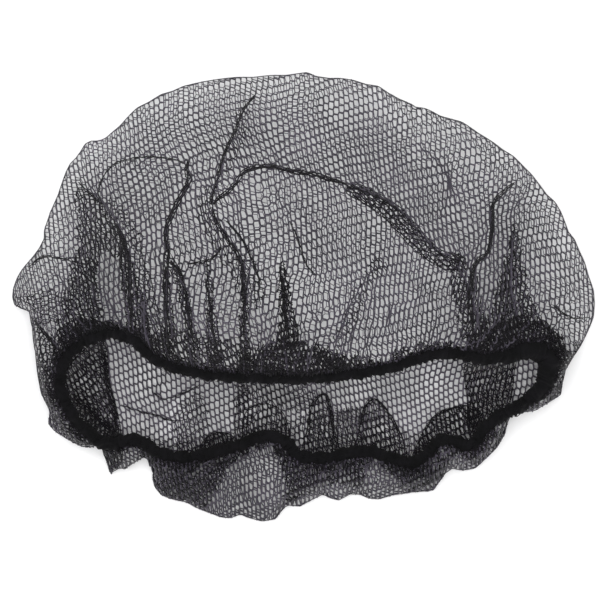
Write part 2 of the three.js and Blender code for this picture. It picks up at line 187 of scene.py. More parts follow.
# Creases: layer, fold or none, width of a tight roll along it in millimetres or 0, and the path, as
# pixels x and y in turn. A fold and its roll may follow slightly different paths.
creases = [
    ("crown", thin, 0, [258, 92, 243, 110, 237, 130, 228, 148, 222, 168, 215, 192, 213, 207]),
    ("crown", None, 1.1, [256, 94, 243, 112, 237, 130, 228, 148, 222, 168, 215, 192, 213, 207]),
    ("crown", thin, 1.5, [213, 207, 218, 223, 227, 237, 240, 257, 245, 290, 245, 337]),
    ("crown", faint, 1.0, [227, 220, 243, 242, 253, 260, 263, 287]),
    ("crown", thin, 1.9, [213, 207, 223, 197, 237, 185, 247, 173, 267, 168, 293, 172, 320, 178, 347, 186]),
    ("crown", lap, 0, [335, 182, 370, 195, 397, 210, 417, 233, 437, 253, 460, 262]),
    ("crown", thin, 0, [447, 258, 463, 285, 470, 305, 472, 337]),
    ("crown", thin, 0, [197, 148, 188, 167, 192, 180, 182, 200, 172, 220, 168, 240, 172, 260]),
    ("crown", None, 1.0, [347, 186, 370, 195, 397, 210, 417, 233, 437, 253, 460, 262]),
    ("crown", None, 2.2, [190, 160, 188, 172, 190, 182, 182, 200, 172, 220, 168, 240, 172, 260]),
    ("crown", None, 0.5, [103, 206, 99, 188, 106, 172, 122, 161, 146, 157, 170, 159, 188, 166]),
    ("crown", thin, 1.8, [172, 260, 168, 287, 170, 347]),
    ("crown", thin, 1.5, [172, 260, 182, 273, 190, 307, 195, 340]),
    ("crown", faint, 1.2, [187, 265, 203, 263, 217, 257, 223, 247]),
    ("crown", faint, 1.1, [207, 277, 213, 313, 217, 350]),
    ("crown", thin, 0, [517, 182, 500, 197, 490, 207, 490, 233, 483, 257, 473, 267, 468, 293]),
    ("crown", thin, 0, [515, 222, 510, 260, 510, 293, 520, 330]),
    ("crown", thin, 0, [77, 180, 90, 193, 103, 205, 117, 220, 128, 247, 132, 277, 133, 327]),
    ("crown", faint, 0, [88, 210, 82, 250, 78, 290, 74, 325]),
    ("crown", faint, 0, [147, 300, 147, 347]),
    ("crown", thin, 0, [20, 273, 40, 258, 60, 257, 80, 263]),
    ("crown", faint, 0, [43, 270, 60, 277, 70, 290]),
    ("crown", faint, 0, [288, 200, 292, 227, 300, 247, 307, 267, 330, 282]),
    ("crown", faint, 0, [377, 260, 360, 287, 350, 307, 343, 327, 330, 347]),
    ("crown", None, 1.5, [516, 181, 501, 195, 491, 206, 491, 224, 487, 250, 473, 265, 468, 293, 471, 335]),
    ("crown", None, 0.7, [551, 304, 562, 312, 574, 318, 589, 317]),
    ("crown", None, 1.2, [77, 180, 90, 193, 103, 205]),
    ("crown", None, 1.4, [117, 222, 128, 247, 132, 277, 133, 327]),
    ("crown", None, 0.9, [26, 268, 40, 258, 60, 257, 80, 263]),
    ("crown", None, 0.8, [290, 222, 300, 247, 307, 267, 318, 277]),
    ("crown", thin, 1.5, [282, 273, 285, 300, 287, 337]),
    ("crown", faint, 0, [393, 300, 383, 330]),
    ("crown", faint, 0, [300, 300, 320, 320]),
    ("crown", faint, 0, [410, 140, 437, 163, 450, 187, 460, 203]),
    ("crown", faint, 0, [550, 303, 563, 318, 587, 320]),
    ("crown", thin, 0, [30, 313, 43, 330, 63, 353]),
    ("crown", None, 1.4, [34, 318, 43, 330, 63, 353]),
    ("mouth", faint, 0.5, [118, 405, 143, 413, 177, 422]),
    ("mouth", faint, 0.5, [150, 390, 163, 400, 183, 393, 200, 385]),
    ("mouth", None, 1.6, [100, 343, 107, 383, 113, 410, 115, 433]),
    ("mouth", None, 1.2, [203, 447, 205, 440, 213, 433, 227, 433]),
    ("mouth", None, 1.0, [307, 434, 311, 411, 319, 398, 326, 395, 330, 406, 332, 430]),
    ("mouth", None, 1.1, [359, 434, 364, 409, 375, 400, 389, 414, 400, 434]),
    ("mouth", None, 1.0, [425, 432, 433, 418, 446, 410, 466, 407]),
]

# Tucks: cloth laid over on itself between a fold's lines. Name, layer, how many more layers lie
# there, the turn of their columns from upright in degrees, and the tuck's edge in pixels.
tuckRows = [
    ("left low", "crown", 1, 14, [74, 252, 96, 262, 101, 300, 106, 334, 90, 340, 68, 342, 58, 332, 66, 300,
     72, 270]),
    ("left wedge", "crown", 1, 8, [76, 182, 92, 196, 108, 216, 128, 243, 126, 262, 108, 250, 98, 270, 101,
     300, 104, 330, 90, 338, 70, 342, 60, 332, 68, 300, 76, 260, 79, 220]),
    ("left strip", "crown", 2, 6, [122, 235, 131, 250, 138, 275, 146, 300, 149, 335, 140, 347, 130, 338, 126,
     300, 121, 265]),
    ("left foot", "crown", 3, 20, [54, 345, 66, 326, 88, 318, 110, 322, 130, 330, 150, 340, 130, 346, 100,
     336, 80, 346, 66, 362, 57, 366]),
    ("left flap shade", "crown", 1, 62, [18, 298, 34, 292, 54, 290, 72, 300, 70, 315, 56, 325, 40, 321, 29,
     309]),
    ("left lobe", "crown", 1, -25, [30, 314, 45, 328, 62, 350, 60, 372, 56, 396, 46, 410, 38, 384, 33, 345]),
    ("left edge", "crown", 1, 70, [32, 340, 42, 352, 56, 372, 62, 392, 72, 410, 84, 420, 92, 432, 76, 438, 58,
     428, 50, 410, 42, 386, 36, 362]),
    ("right wedge", "crown", 2, -4, [514, 224, 521, 255, 526, 285, 537, 315, 554, 335, 564, 352, 520, 356,
     470, 354, 466, 338, 484, 318, 496, 286, 505, 255]),
    ("right foot", "crown", 3, 10, [468, 345, 482, 330, 505, 318, 530, 316, 552, 330, 566, 348, 560, 368, 520,
     360, 475, 364]),
    ("right end", "crown", 4, 30, [554, 335, 566, 350, 580, 346, 578, 362, 568, 386, 560, 396, 546, 410, 544,
     380, 556, 360]),
    ("arch lap", "crown", 2, 40, [350, 184, 372, 192, 398, 208, 419, 231, 438, 250, 462, 258, 462, 268, 446,
     270, 428, 262, 406, 244, 386, 222, 362, 204, 346, 194]),
    ("arch foot", "crown", 2, -8, [456, 256, 468, 266, 476, 292, 481, 338, 462, 342, 456, 310, 448, 282]),
    ("middle strip", "crown", 3, 2, [282, 262, 289, 280, 294, 310, 298, 345, 278, 347, 280, 315, 279, 288]),
    ("middle foot", "crown", 4, -12, [240, 362, 256, 350, 276, 341, 296, 341, 320, 350, 345, 358, 346, 372,
     320, 380, 290, 382, 248, 378]),
    ("middle low", "crown", 1, 8, [300, 345, 330, 348, 352, 352, 372, 360, 372, 374, 340, 380, 300, 382]),
    ("gather strip a", "crown", 2, 0, [144, 294, 150, 312, 152, 350, 142, 348, 142, 315]),
    ("gather strip b", "crown", 2, 2, [169, 240, 173, 262, 174, 300, 176, 354, 166, 352, 165, 300, 165, 265]),
    ("gather strip c", "crown", 2, 4, [174, 258, 185, 275, 194, 310, 200, 356, 189, 354, 186, 318, 177, 285]),
    ("gather strip d", "crown", 2, 4, [209, 262, 214, 282, 218, 318, 222, 360, 211, 360, 208, 318]),
    ("gather strip e", "crown", 2, 0, [244, 250, 248, 275, 250, 320, 248, 366, 242, 366, 242, 300]),
    ("gather field", "crown", 1, 3, [150, 336, 176, 330, 200, 334, 230, 340, 252, 345, 252, 378, 235, 376,
     180, 362, 152, 352]),
    ("band shade", "crown", 1, 6, [204, 196, 214, 206, 231, 238, 262, 284, 266, 302, 248, 304, 228, 268, 210,
     242, 200, 220]),
    ("left shade", "crown", 1, 10, [96, 196, 116, 204, 136, 226, 150, 262, 160, 300, 166, 345, 150, 345, 140,
     300, 126, 256, 108, 222]),
    ("slanting shade", "crown", 1, 20, [376, 258, 384, 264, 366, 294, 352, 330, 338, 346, 332, 340, 344, 312,
     358, 284]),
    ("line shade", "crown", 1, 4, [240, 108, 250, 112, 240, 150, 226, 180, 214, 204, 206, 196, 216, 172, 230,
     140]),
    ("flounce left", "crown", 1, 30, [60, 424, 80, 428, 100, 434, 97, 442, 78, 444, 66, 436]),
    ("flounce point", "crown", 1, 25, [101, 444, 120, 446, 122, 460, 112, 470, 106, 460]),
    ("flounce dark", "crown", 2, 12, [152, 458, 180, 462, 215, 462, 228, 458, 220, 484, 206, 507, 186, 504,
     166, 497, 156, 480]),
    ("flounce dark middle", "crown", 2, -8, [276, 450, 300, 462, 330, 464, 366, 464, 362, 482, 330, 484, 302,
     496, 288, 506, 284, 480]),
    ("flounce dark right", "crown", 2, 4, [392, 464, 425, 468, 446, 460, 450, 466, 438, 484, 405, 490]),
    ("flounce right", "crown", 1, -20, [474, 446, 500, 430, 510, 414, 502, 438, 490, 456, 476, 466]),
    ("mouth left", "mouth", 2, 30, [62, 380, 72, 362, 86, 348, 102, 340, 109, 383, 116, 410, 119, 436, 102,
     426, 84, 408, 68, 394]),
    ("mouth low left", "mouth", 3, -20, [58, 396, 70, 394, 82, 402, 94, 412, 108, 424, 120, 438, 96, 440, 76,
     430, 62, 414]),
    ("mouth hook shade", "mouth", 1, -10, [174, 408, 186, 396, 198, 392, 206, 404, 208, 430, 202, 454, 178,
     456, 172, 430]),
    ("mouth nub", "mouth", 2, 5, [200, 452, 203, 442, 213, 434, 228, 434, 240, 446, 236, 456, 204, 458]),
    ("mouth strip", "mouth", 1, 0, [240, 384, 248, 386, 247, 436, 236, 436]),
    ("mouth patch", "mouth", 1, 8, [246, 412, 262, 404, 282, 412, 288, 444, 262, 446, 244, 442]),
    ("arch b", "mouth", 1, -5, [303, 458, 307, 430, 311, 410, 320, 397, 327, 395, 331, 406, 334, 428, 338,
     460]),
    ("arch c", "mouth", 1, 5, [352, 460, 359, 434, 364, 409, 375, 399, 390, 414, 401, 434, 406, 466]),
    ("arch d", "mouth", 2, 15, [412, 464, 420, 440, 433, 418, 450, 409, 468, 406, 482, 414, 474, 440, 448,
     456]),
    ("mouth right", "mouth", 2, -12, [468, 356, 514, 354, 515, 378, 508, 410, 486, 446, 472, 440, 468, 400]),
    ("mouth shade", "mouth", 1, 3, [236, 382, 262, 386, 300, 388, 322, 394, 304, 412, 262, 404, 240, 412]),
    ("arch gap shade", "mouth", 1, 12, [331, 416, 346, 407, 361, 410, 364, 434, 358, 460, 336, 460]),
    ("mouth floor shade", "mouth", 1, 0, [150, 440, 200, 440, 280, 424, 306, 416, 345, 410, 362, 408, 400,
     430, 440, 436, 460, 430, 440, 462, 350, 462, 280, 448, 200, 462]),
]

# Cloth bunched beside the elastic: its mean reach from the elastic's middle and how that swings
ring = {"seed": 41, "reach": 5.2, "least": 0.6, "swing": 1.1, "waves": (17, 31, 49, 83), "fray": 0.8, "layers": 2}

tuck = {
    "seed": 100,
    "jitter": 0.27,
    "knots": ((0.6, -1 / 3), (0.4, 1 / 3)),  # a cell's two knots, as shares of the column and the period
    "turn": 9.0,  # how many degrees a layer's columns turn from the row's angle
    "shrink": ((0.88, 1.0), (0.9, 1.0)),  # of its columns and of its periods
    "rise": 0.4,  # of the next column
    "shift": 2.0,
    "wave": (0.5, 3.1, 3.7),  # size, and length across and along
    "fray": 2.0,  # how unevenly a bunched patch ends
    "stripFray": 0.8,
    "ragged": ("foot", "end", "field", "low", "edge", "lobe", "dark", "shade"),  # words in such patches' names
    "over": ((-0.65, -0.25), (0.8, 0.3)),  # depth below the loose layer, in turns over and under it
    "edgeRoom": 0.2,  # that a thread along a tuck's edge needs, and the points that it has more than
    "shortest": 5,
}

# Tight rolls along the creases. Widths are shares of the roll's own.
roll = {
    "seed": 300,
    "points": 12,  # of its line, for each gap in its path
    "ahead": 0.6,  # how far before and behind a place its direction is taken
    "start": 0.98,  # share of the lattice's rows that lie before the roll
    "lift": 1.0,  # over the crown's cloth beside it
    "mouthLift": 0.5,
    "period": 0.9,  # of its cells, as a share of the mesh's
    "slant": 0.3,
    "taper": (9.0, 0.25),  # length over which its tips narrow, and to which share
    "stray": 0.22,
    "strayWaves": (2.9, 4.7, 8.3),
    "column": 0.42,
    "half": 0.6,
    "jitter": 0.18,
    "hump": (0.5, 0.1),  # height in its middle, and how far its sides sink
    "fullWidth": 1.4,  # at which its strands have their own thickness
    "thickness": (0.6, 1.1),  # least and most, as shares of it
}

# Pleats that the elastic gathers the cloth into, on the crown's side and on the flounce's
gathers = {
    "seed": 11,
    "sideways": 0.25,  # how far a pleat strays from its line, as a share of its length
    "middle": 0.35,  # share of it that is reached halfway
    "uneven": 0.35,  # how far a pleat starts from its even place, as a share of their spacing
    "ease": 8.0,
    "tips": (0.0, 0.6),
    "sides": (
        {
            "count": 54, "shares": (0.0, 0.5), "long": (10.0, 40.0),
            "depth": (0.4, 1.2), "crease": (0.5, 1.0), "lift": (0.4, 1.4),
        },
        {
            "count": 46, "shares": (0.5, 1.0), "long": (5.0, 18.0),
            "depth": (0.4, 1.0), "crease": (0.5, 0.9), "lift": (0.3, 0.9),
        },
    ),
}

chance = {
    "seed": 29,
    "count": 46,
    "across": (-0.9, 0.9),
    "along": (-0.2, 0.75),
    "fan": 0.35,  # where a crease aims, as a share of its own place across
    "sideways": 0.16,
    "length": (14.0, 44.0),
    "depth": (0.3, 0.8),
    "sharpness": (0.9, 1.3),  # of a crease, as a share of its depth
    "ease": 6.0,
    "tips": (0.4, 0.4),
    "lift": (0.3, 0.9),
}

halfWidth = pouch["width"] / 2
halfDepth = pouch["depth"] / 2
setDown = np.array(pouch["setDown"])
fullTurn = 2 * math.pi


def softStep(t):  # three t squared less two t cubed, held between 0 and 1
    s = np.clip(t, 0.0, 1.0)
    return s * s * (3 - 2 * s)


def blend(a, b, share):  # from one value to another
    return a + (b - a) * share


def unit(v):  # vectors along the last axis, brought to length one
    return v / np.maximum(np.linalg.norm(v, axis=-1, keepdims=True), 1e-9)


def leftOf(way):  # a quarter turn to the left, in plan
    return np.stack([-way[..., 1], way[..., 0]], -1)


def turned(angle, first, second):  # from one direction towards another that is square to it
    return np.cos(angle)[..., None] * first + np.sin(angle)[..., None] * second


def planPoint(pixels):  # pixels of the photograph, x and y in turn, to plan millimetres
    shift = np.reshape(pixels, (-1, 2)) - np.array(photoMiddle, float)
    return shift * [photoScale, -photoScale]


def lineMark(line):  # length along a line up to each of its points
    return np.concatenate([[0], np.cumsum(np.linalg.norm(np.diff(line, axis=0), axis=1))])


rimShares = planPoint(rimPoints) / [halfWidth, halfDepth]
rimAngles = np.arctan2(rimShares[:, 1], rimShares[:, 0]) % fullTurn
rimReach = np.linalg.norm(rimShares, axis=1)[rimAngles.argsort()]
rimAngles = np.sort(rimAngles)


# Reach of the outline at an angle, as a share of the ellipse: straight from one read point to the next
def outlineReach(angle):
    return np.interp(angle % fullTurn, rimAngles, rimReach, period=fullTurn)


def outlinePlace(angle):
    reach = outlineReach(angle)
    return np.column_stack([reach * halfWidth * np.cos(angle), reach * halfDepth * np.sin(angle)])


# Closed curve through points: cubic pieces whose speed follows the square root of each gap
def smoothLoop(points, perGap=60):
    gaps = np.linalg.norm(np.roll(points, -1, 0) - points, axis=1) ** 0.5
    previous, following = np.roll(gaps, 1), np.roll(gaps, -1)
    p0, p2, p3 = np.roll(points, 1, 0), np.roll(points, -1, 0), np.roll(points, -2, 0)
    g0, g1, g2 = previous[:, None], gaps[:, None], following[:, None]
    start = ((points - p0) / g0 - (p2 - p0) / (g0 + g1) + (p2 - points) / g1) * g1
    end = ((p2 - points) / g1 - (p3 - points) / (g1 + g2) + (p3 - p2) / g2) * g1
    t = (np.arange(perGap) / perGap)[None, :, None]
    a, b = points[:, None], p2[:, None]
    s, e = start[:, None], end[:, None]
    curve = a + s * t + (3 * (b - a) - 2 * s - e) * t**2 + (2 * (a - b) + s + e) * t**3
    return curve.reshape(-1, points.shape[1])


rows = np.array(bandRows)
bandHeight = blend(pouch["bandNearHeight"], pouch["bandFarHeight"], rows[:, 2])
loop = smoothLoop(np.column_stack([rows[:, 0] * halfWidth, rows[:, 1] * halfDepth, bandHeight]))
loopGap = np.linalg.norm(np.roll(loop, -1, 0) - loop, axis=1)
loopLength = loopGap.sum()
loopMark = np.concatenate([[0.0], np.cumsum(loopGap)]) / loopLength
loopClosed = np.vstack([loop, loop[:1]])


# Place on the elastic's middle line at a share of its length
def loopPlace(share):
    s = np.asarray(share) % 1.0
    return np.stack([np.interp(s, loopMark, loopClosed[:, k]) for k in range(3)], -1)


def loopWay(share, step=0.0015):  # direction along the line, from two places close together
    return unit(loopPlace(share + step) - loopPlace(share - step))


def levelOut(share):  # level direction away from the loop's inside
    way = loopWay(share)
    return unit(np.stack([way[..., 1], -way[..., 0], np.zeros_like(way[..., 0])], -1))


# The cloth is a round disc. A ray from the middle of its part on the floor runs to the disc's
# edge, and the ray's turn gives the outline's angle, the disc's own angle and the loop's share.
def clothRays(turn):
    dx, dy = np.cos(turn), np.sin(turn)
    restHalf = halfWidth / pouch["lateralEase"]
    radius = math.hypot(restHalf + pouch["sideFlap"], pouch["crownShift"])
    reach = dy * pouch["crownShift"] + np.sqrt(radius**2 - (dx * pouch["crownShift"]) ** 2)
    edge = np.arctan2(reach * dy - pouch["crownShift"], reach * dx)
    ease = lambda a: np.cos(a) * (1 - 0.5 * np.sin(a) ** 2)
    slide = pouch["loopEndTurn"] / ease(pouch["loopEndTurn"])
    share = ((edge + slide * ease(edge)) / fullTurn + 1) % 1
    return np.arctan2(dy / halfDepth, dx / restHalf), edge, share


# Upper layer: a cubic Bezier along each ray, from the outline over the crest to the elastic,
# then straight on into the elastic's middle
def upperSheet(turnCount=900, stepCount=200, seamCount=8):
    turn = np.arange(turnCount) / turnCount * fullTurn
    angle, edge, share = clothRays(turn)
    outline = np.column_stack([outlinePlace(angle), np.full(turnCount, pouch["edgeHeight"])])
    seat, farness = loopPlace(share), (1 + np.sin(edge)) / 2
    pitch = blend(pouch["nearPitch"], pouch["farPitch"], farness)[:, None]
    up = np.array([0.0, 0.0, 1.0])
    pitched = lambda way: np.cos(pitch) * way + np.sin(pitch) * up
    rim = seat + pitched(levelOut(share)) * (pouch["bandRadius"] + pouch["bandClearance"])
    toOutline = (outline - seat) * [1, 1, 0]
    length = np.linalg.norm(toOutline, axis=1)[:, None]
    rayWay = toOutline / length
    even = unit(sum(levelOut(share + k * pouch["evenStep"]) for k in range(-3, 4)))
    easyWay = pitched(unit(even + rayWay))
    top = blend(pouch["flounceHeight"], pouch["crownHeight"], softStep(farness) ** pouch["domeSharpness"])
    rise = outline - rayWay * pouch["edgeSlope"] * length
    rise[:, 2] += pouch["edgeRise"] * top
    fall = rim + easyWay * pouch["bandEase"] * length
    fall[:, 2] = np.maximum(fall[:, 2], pouch["crestRise"] * top)
    t = np.linspace(0, 1, stepCount)[:, None, None]
    sheet = (1 - t) ** 3 * outline + 3 * (1 - t) ** 2 * t * rise + 3 * (1 - t) * t**2 * fall + t**3 * rim
    along = t[..., 0] * np.ones(turnCount)
    rising, falling = pouch["swellEase"]
    swell = swellHeight(sheet[..., 0], sheet[..., 1])
    sheet[..., 2] += softStep(along / rising) * softStep((1 - along) / falling) * swell
    seam = blend(rim, seat, np.linspace(0.1, 1, seamCount)[:, None, None])
    return np.vstack([sheet.reshape(-1, 3), seam.reshape(-1, 3)]), seat, rayWay, share


# Height that the swells add: each is a bell across its arc, lower at its two tips
def swellHeight(x, y):
    height = np.zeros_like(x)
    size = np.array([halfWidth, halfDepth])
    t = np.linspace(0, 1, 17)
    for *path, half, rise in swellRows:
        a, b, c = path * size
        best, at = np.full(x.shape, 1e9), np.zeros_like(x)
        for k in t:
            p = (1 - k) ** 2 * a + 2 * (1 - k) * k * b + k**2 * c
            gap = np.hypot(x - p[0], y - p[1])
            at = np.where(gap < best, k, at)
            best = np.minimum(gap, best)
        taper = blend(pouch["swellTip"], 1, np.sin(np.pi * at))
        height += rise * pouch["crownHeight"] * taper * np.exp(-((best / (half * pouch["depth"])) ** 2))
    return height


# Fields over the plan, half a millimetre apart: how far in from the outline and how far
# out from the elastic each place lies, and how high the upper layer is there
field = {"step": 0.5, "left": -150.0, "low": -125.0, "across": 601, "along": 501, "fills": 60, "smooths": 2}


def nearestOf(points, line, chunk=6000):  # index of the nearest point of a line, and the distance
    index = np.empty(len(points), int)
    gap = np.empty(len(points))
    for k in range(0, len(points), chunk):
        d = (points[k:k + chunk, None, 0] - line[None, :, 0]) ** 2
        d += (points[k:k + chunk, None, 1] - line[None, :, 1]) ** 2
        index[k:k + chunk] = d.argmin(1)
        gap[k:k + chunk] = np.sqrt(d.min(1))
    return index, gap


def look(values, p):  # value at a place, straight between the four places of the field around it
    fx = np.clip((p[:, 0] - field["left"]) / field["step"], 0, field["across"] - 1.001)
    fy = np.clip((p[:, 1] - field["low"]) / field["step"], 0, field["along"] - 1.001)
    ix, iy = fx.astype(int), fy.astype(int)
    tx, ty = fx - ix, fy - iy
    low = values[iy, ix] * (1 - tx) + values[iy, ix + 1] * tx
    high = values[iy + 1, ix] * (1 - tx) + values[iy + 1, ix + 1] * tx
    return low * (1 - ty) + high * ty


def slopes(values):  # how a field changes towards +X and +Y
    return np.gradient(values, field["step"])[::-1]


def lookBoth(pair, p):
    return np.column_stack([look(values, p) for values in pair])


sheetPoints, seats, rayWays, rayShares = upperSheet()
gridX = field["left"] + field["step"] * np.arange(field["across"])
gridY = field["low"] + field["step"] * np.arange(field["along"])
gx, gy = np.meshgrid(gridX, gridY)
grid = np.column_stack([gx.ravel(), gy.ravel()])
fineOutline = outlinePlace(np.arange(2400) / 2400 * fullTurn)
_, gap = nearestOf(grid, fineOutline[::3])
pointAngle = np.arctan2(grid[:, 1] / halfDepth, grid[:, 0] / halfWidth)
inside = np.hypot(grid[:, 0] / halfWidth, grid[:, 1] / halfDepth) < outlineReach(pointAngle)
edgeField = np.where(inside, gap, -gap).reshape(gx.shape)
loopThin = loop[::3]
loopThinOut = levelOut(loopMark[:-1][::3])
index, gap = nearestOf(grid, loopThin)
outSide = ((grid - loopThin[index, :2]) * loopThinOut[index, :2]).sum(1) > 0
loopField = np.where(outSide, gap, -gap).reshape(gx.shape)

# Heights: the sheet's points are averaged in each cell, and empty cells take their neighbours'
cellX = np.round((sheetPoints[:, 0] - field["left"]) / (2 * field["step"])).astype(int)
cellY = np.round((sheetPoints[:, 1] - field["low"]) / (2 * field["step"])).astype(int)
cellShape = ((field["along"] + 1) // 2, (field["across"] + 1) // 2)
total, count = np.zeros(cellShape), np.zeros(cellShape)
np.add.at(total, (cellY, cellX), sheetPoints[:, 2])
np.add.at(count, (cellY, cellX), 1)
height = np.where(count > 0, total / np.maximum(count, 1), 0)
fixed = known = count > 0
for _ in range(field["fills"]):
    beside = lambda values: sum(np.roll(values, step, axis) for axis in (1, 0) for step in (1, -1))
    near, weight = beside(height * known), beside(known * 1.0)
    height = np.where(fixed, height, np.where(weight > 0, near / np.maximum(weight, 1), 0))
    known = known | (weight > 0)
for _ in range(field["smooths"]):
    height = (height * 4 + sum(np.roll(height, s, a) for s in (1, -1) for a in (0, 1))) / 8
hx = np.arange(field["across"]) / 2
hy = np.arange(field["along"]) / 2
wideHeight = np.stack([np.interp(hx, np.arange(cellShape[1]), row) for row in height])
heightField = np.stack([np.interp(hy, np.arange(cellShape[0]), wideHeight[:, k]) for k in range(len(hx))], 1)
heightSlopes = slopes(heightField)
edgeSlopes = slopes(edgeField)
print("fields:", edgeField.max().round(1), "mm deep,", heightField.max().round(1), "mm high")


def smoothPath(points, perGap=5):  # open curve through points, made of cubic pieces
    p = np.vstack([2 * points[0] - points[1], points, 2 * points[-1] - points[-2]])
    t = (np.arange(perGap) / perGap)[None, :, None]
    a, b, c, d = (p[k:len(p) - 3 + k, None] for k in range(4))
    curve = 0.5 * (2 * b + (c - a) * t + (2 * a - 5 * b + 4 * c - d) * t**2 + (3 * b - a - 3 * c + d) * t**3)
    return np.vstack([curve.reshape(-1, 2), points[-1:]])


# Each fold draws the cloth in from both sides: a place w across the line goes to
# w - depth tanh(w / crease) exp(-(w / reach) squared), and the far lip is lifted over the near one
def foldCloth(p, folds, edge):
    p = p.copy()
    lift = np.zeros(len(p))
    for line, form, tips in folds:
        room = fold["room"] * form["reach"]
        low, high = line.min(0) - room, line.max(0) + room
        near = np.where(((p > low) & (p < high)).all(1))[0]
        if len(near) == 0:
            continue
        q, mark, step = p[near], lineMark(line), np.diff(line, axis=0)
        long = np.linalg.norm(step, axis=1)
        way = step / long[:, None]
        rel = q[:, None] - line[None, :-1]
        along = (rel * way[None]).sum(2)
        held = np.clip(along, 0, long)
        best = np.linalg.norm(rel - held[..., None] * way[None], axis=2).argmin(1)
        pick = np.arange(len(q)), best
        side = leftOf(way[best])
        w = (rel[pick] * side).sum(1)
        past = along[pick] - held[pick]
        at = (mark[best] + held[pick]) / mark[-1]
        ending = fold["ending"][0] * form["crease"] + fold["ending"][1] * form["reach"]
        fade = np.exp(-((past / ending) ** 2))
        for part, tip in ((at, tips[0]), (1 - at, tips[1])):
            if tip:
                fade *= softStep(part / tip)
        fade *= softStep((edge[near] - fold["edgeGap"]) / form["ease"])
        move = -form["depth"] * np.tanh(w / form["crease"]) * np.exp(-((w / form["reach"]) ** 2))
        p[near] += side * (move * fade)[:, None]
        lip = 0.5 * (1 + np.tanh(2 * w / form["crease"])) * np.exp(-((w / (fold["lip"] * form["crease"])) ** 2))
        lift[near] += form["lift"] * lip * fade
    return p, lift


def foldLines(layer):
    rows = [(form, path) for where, form, _, path in creases if form and where == layer]
    return [(smoothPath(planPoint(path)), form, fold["tips"]) for form, path in rows]


# A crease from a place one way, with how far its middle and its end stray sideways
def chanceLine(start, way, long, strays, size, values, perGap):
    points = np.array([start, start + way * long * 0.5 + strays[0], start + way * long + strays[1]])
    reach = fold["small"][0] * size["crease"] + fold["small"][1]
    return smoothPath(points, perGap), {**size, "reach": reach, "ease": values["ease"]}, values["tips"]


# Pleats start at the elastic, at random places along it, and run out along the cloth's rays
def gatherLines():
    random = np.random.default_rng(gathers["seed"])
    lines = []
    order = np.argsort(rayShares)
    for form in gathers["sides"]:
        count, (first, last) = form["count"], form["shares"]
        uneven = random.uniform(-gathers["uneven"], gathers["uneven"], count)
        marks = first + (last - first) * (np.arange(count) + 0.5 + uneven) / count
        for mark in marks:
            ray = order[np.searchsorted(rayShares[order], mark) % len(order)]
            size = {key: random.uniform(*form[key]) for key in ("depth", "crease", "lift")}
            long = random.uniform(*form["long"])
            way = rayWays[ray, :2]
            across = leftOf(way) * random.uniform(-1, 1) * gathers["sideways"] * long
            strays = across * gathers["middle"], across
            lines.append(chanceLine(seats[ray, :2], way, long, strays, size, gathers, 4))
    return lines


# Small chance creases of the crown: they run towards the elastic's middle, fanned a little
def wrinkles():
    random = np.random.default_rng(chance["seed"])
    lines = []
    for _ in range(chance["count"]):
        spot = [random.uniform(*chance[key]) for key in ("across", "along")]
        start = np.array(spot) * [halfWidth, halfDepth]
        way = unit(np.array([chance["fan"] * start[0], -halfDepth * 0.5 - start[1]]) - start * [1, 0])
        long = random.uniform(*chance["length"])
        strays = leftOf(way) * random.normal(0, chance["sideways"], 2)[:, None] * long
        size = {key: random.uniform(*chance[key]) for key in ("depth", "lift")}
        size["crease"] = size["depth"] * random.uniform(*chance["sharpness"])
        lines.append(chanceLine(start, way, long, strays, size, chance, 5))
    return lines


# Place of a cell's middle: columns side by side, each risen and leaning a little, and then moved
# by waves that run slantwise, half as far across as along
def latticePlace(i, j):
    x = mesh["column"] * i + mesh["widening"] * i**2
    y = mesh["period"] * j + mesh["columnRise"] * i - mesh["leftRise"] * i**2 * (i < 0)
    lean = np.interp(x, mesh["leanPlaces"], mesh["leans"])
    x = x - (y - mesh["leanLevel"]) * lean
    for size, wave, phase in mesh["warps"]:
        x, y = (
            x + size * 0.5 * np.sin(fullTurn * (y + 0.4 * x) / wave + phase),
            y + size * np.sin(fullTurn * (x - 0.3 * y) / wave + 1.7 * phase),
        )
    return np.stack([x, y], -1)


columnSpan, rowSpan = 66, 48
ci, cj = np.meshgrid(np.arange(-columnSpan, columnSpan + 1), np.arange(-rowSpan, rowSpan + 1), indexing="ij")
cellShape = ci.shape
plainA = latticePlace(ci + 0.5 + mesh["waviness"], cj - 1 / 3)
plainB = latticePlace(ci + 0.5 - mesh["waviness"], cj + 1 / 3)
random = np.random.default_rng(mesh["seed"])
knots = np.stack([plainA, plainB], 2)  # column, row, kind, xy
knots += random.normal(0, mesh["jitter"], knots.shape)
knotCount = ci.size * 2
knots = knots.reshape(-1, 2)

# A knot of the second kind joins three of the first: its own cell's, the next row's, and the one
# up in the column to the left. Strand number = 3 x cell + which of the three.
cell = np.arange(ci.size).reshape(cellShape)


def shifted(di, dj):  # number of the cell that lies di columns and dj rows on, or -1
    found = np.full(cellShape, -1)
    a, b = np.arange(cellShape[0]), np.arange(cellShape[1])
    ia, ib = np.meshgrid(a + di, b + dj, indexing="ij")
    fine = (ia >= 0) & (ia < cellShape[0]) & (ib >= 0) & (ib < cellShape[1])
    found[fine] = cell[ia[fine], ib[fine]]
    return found.ravel()


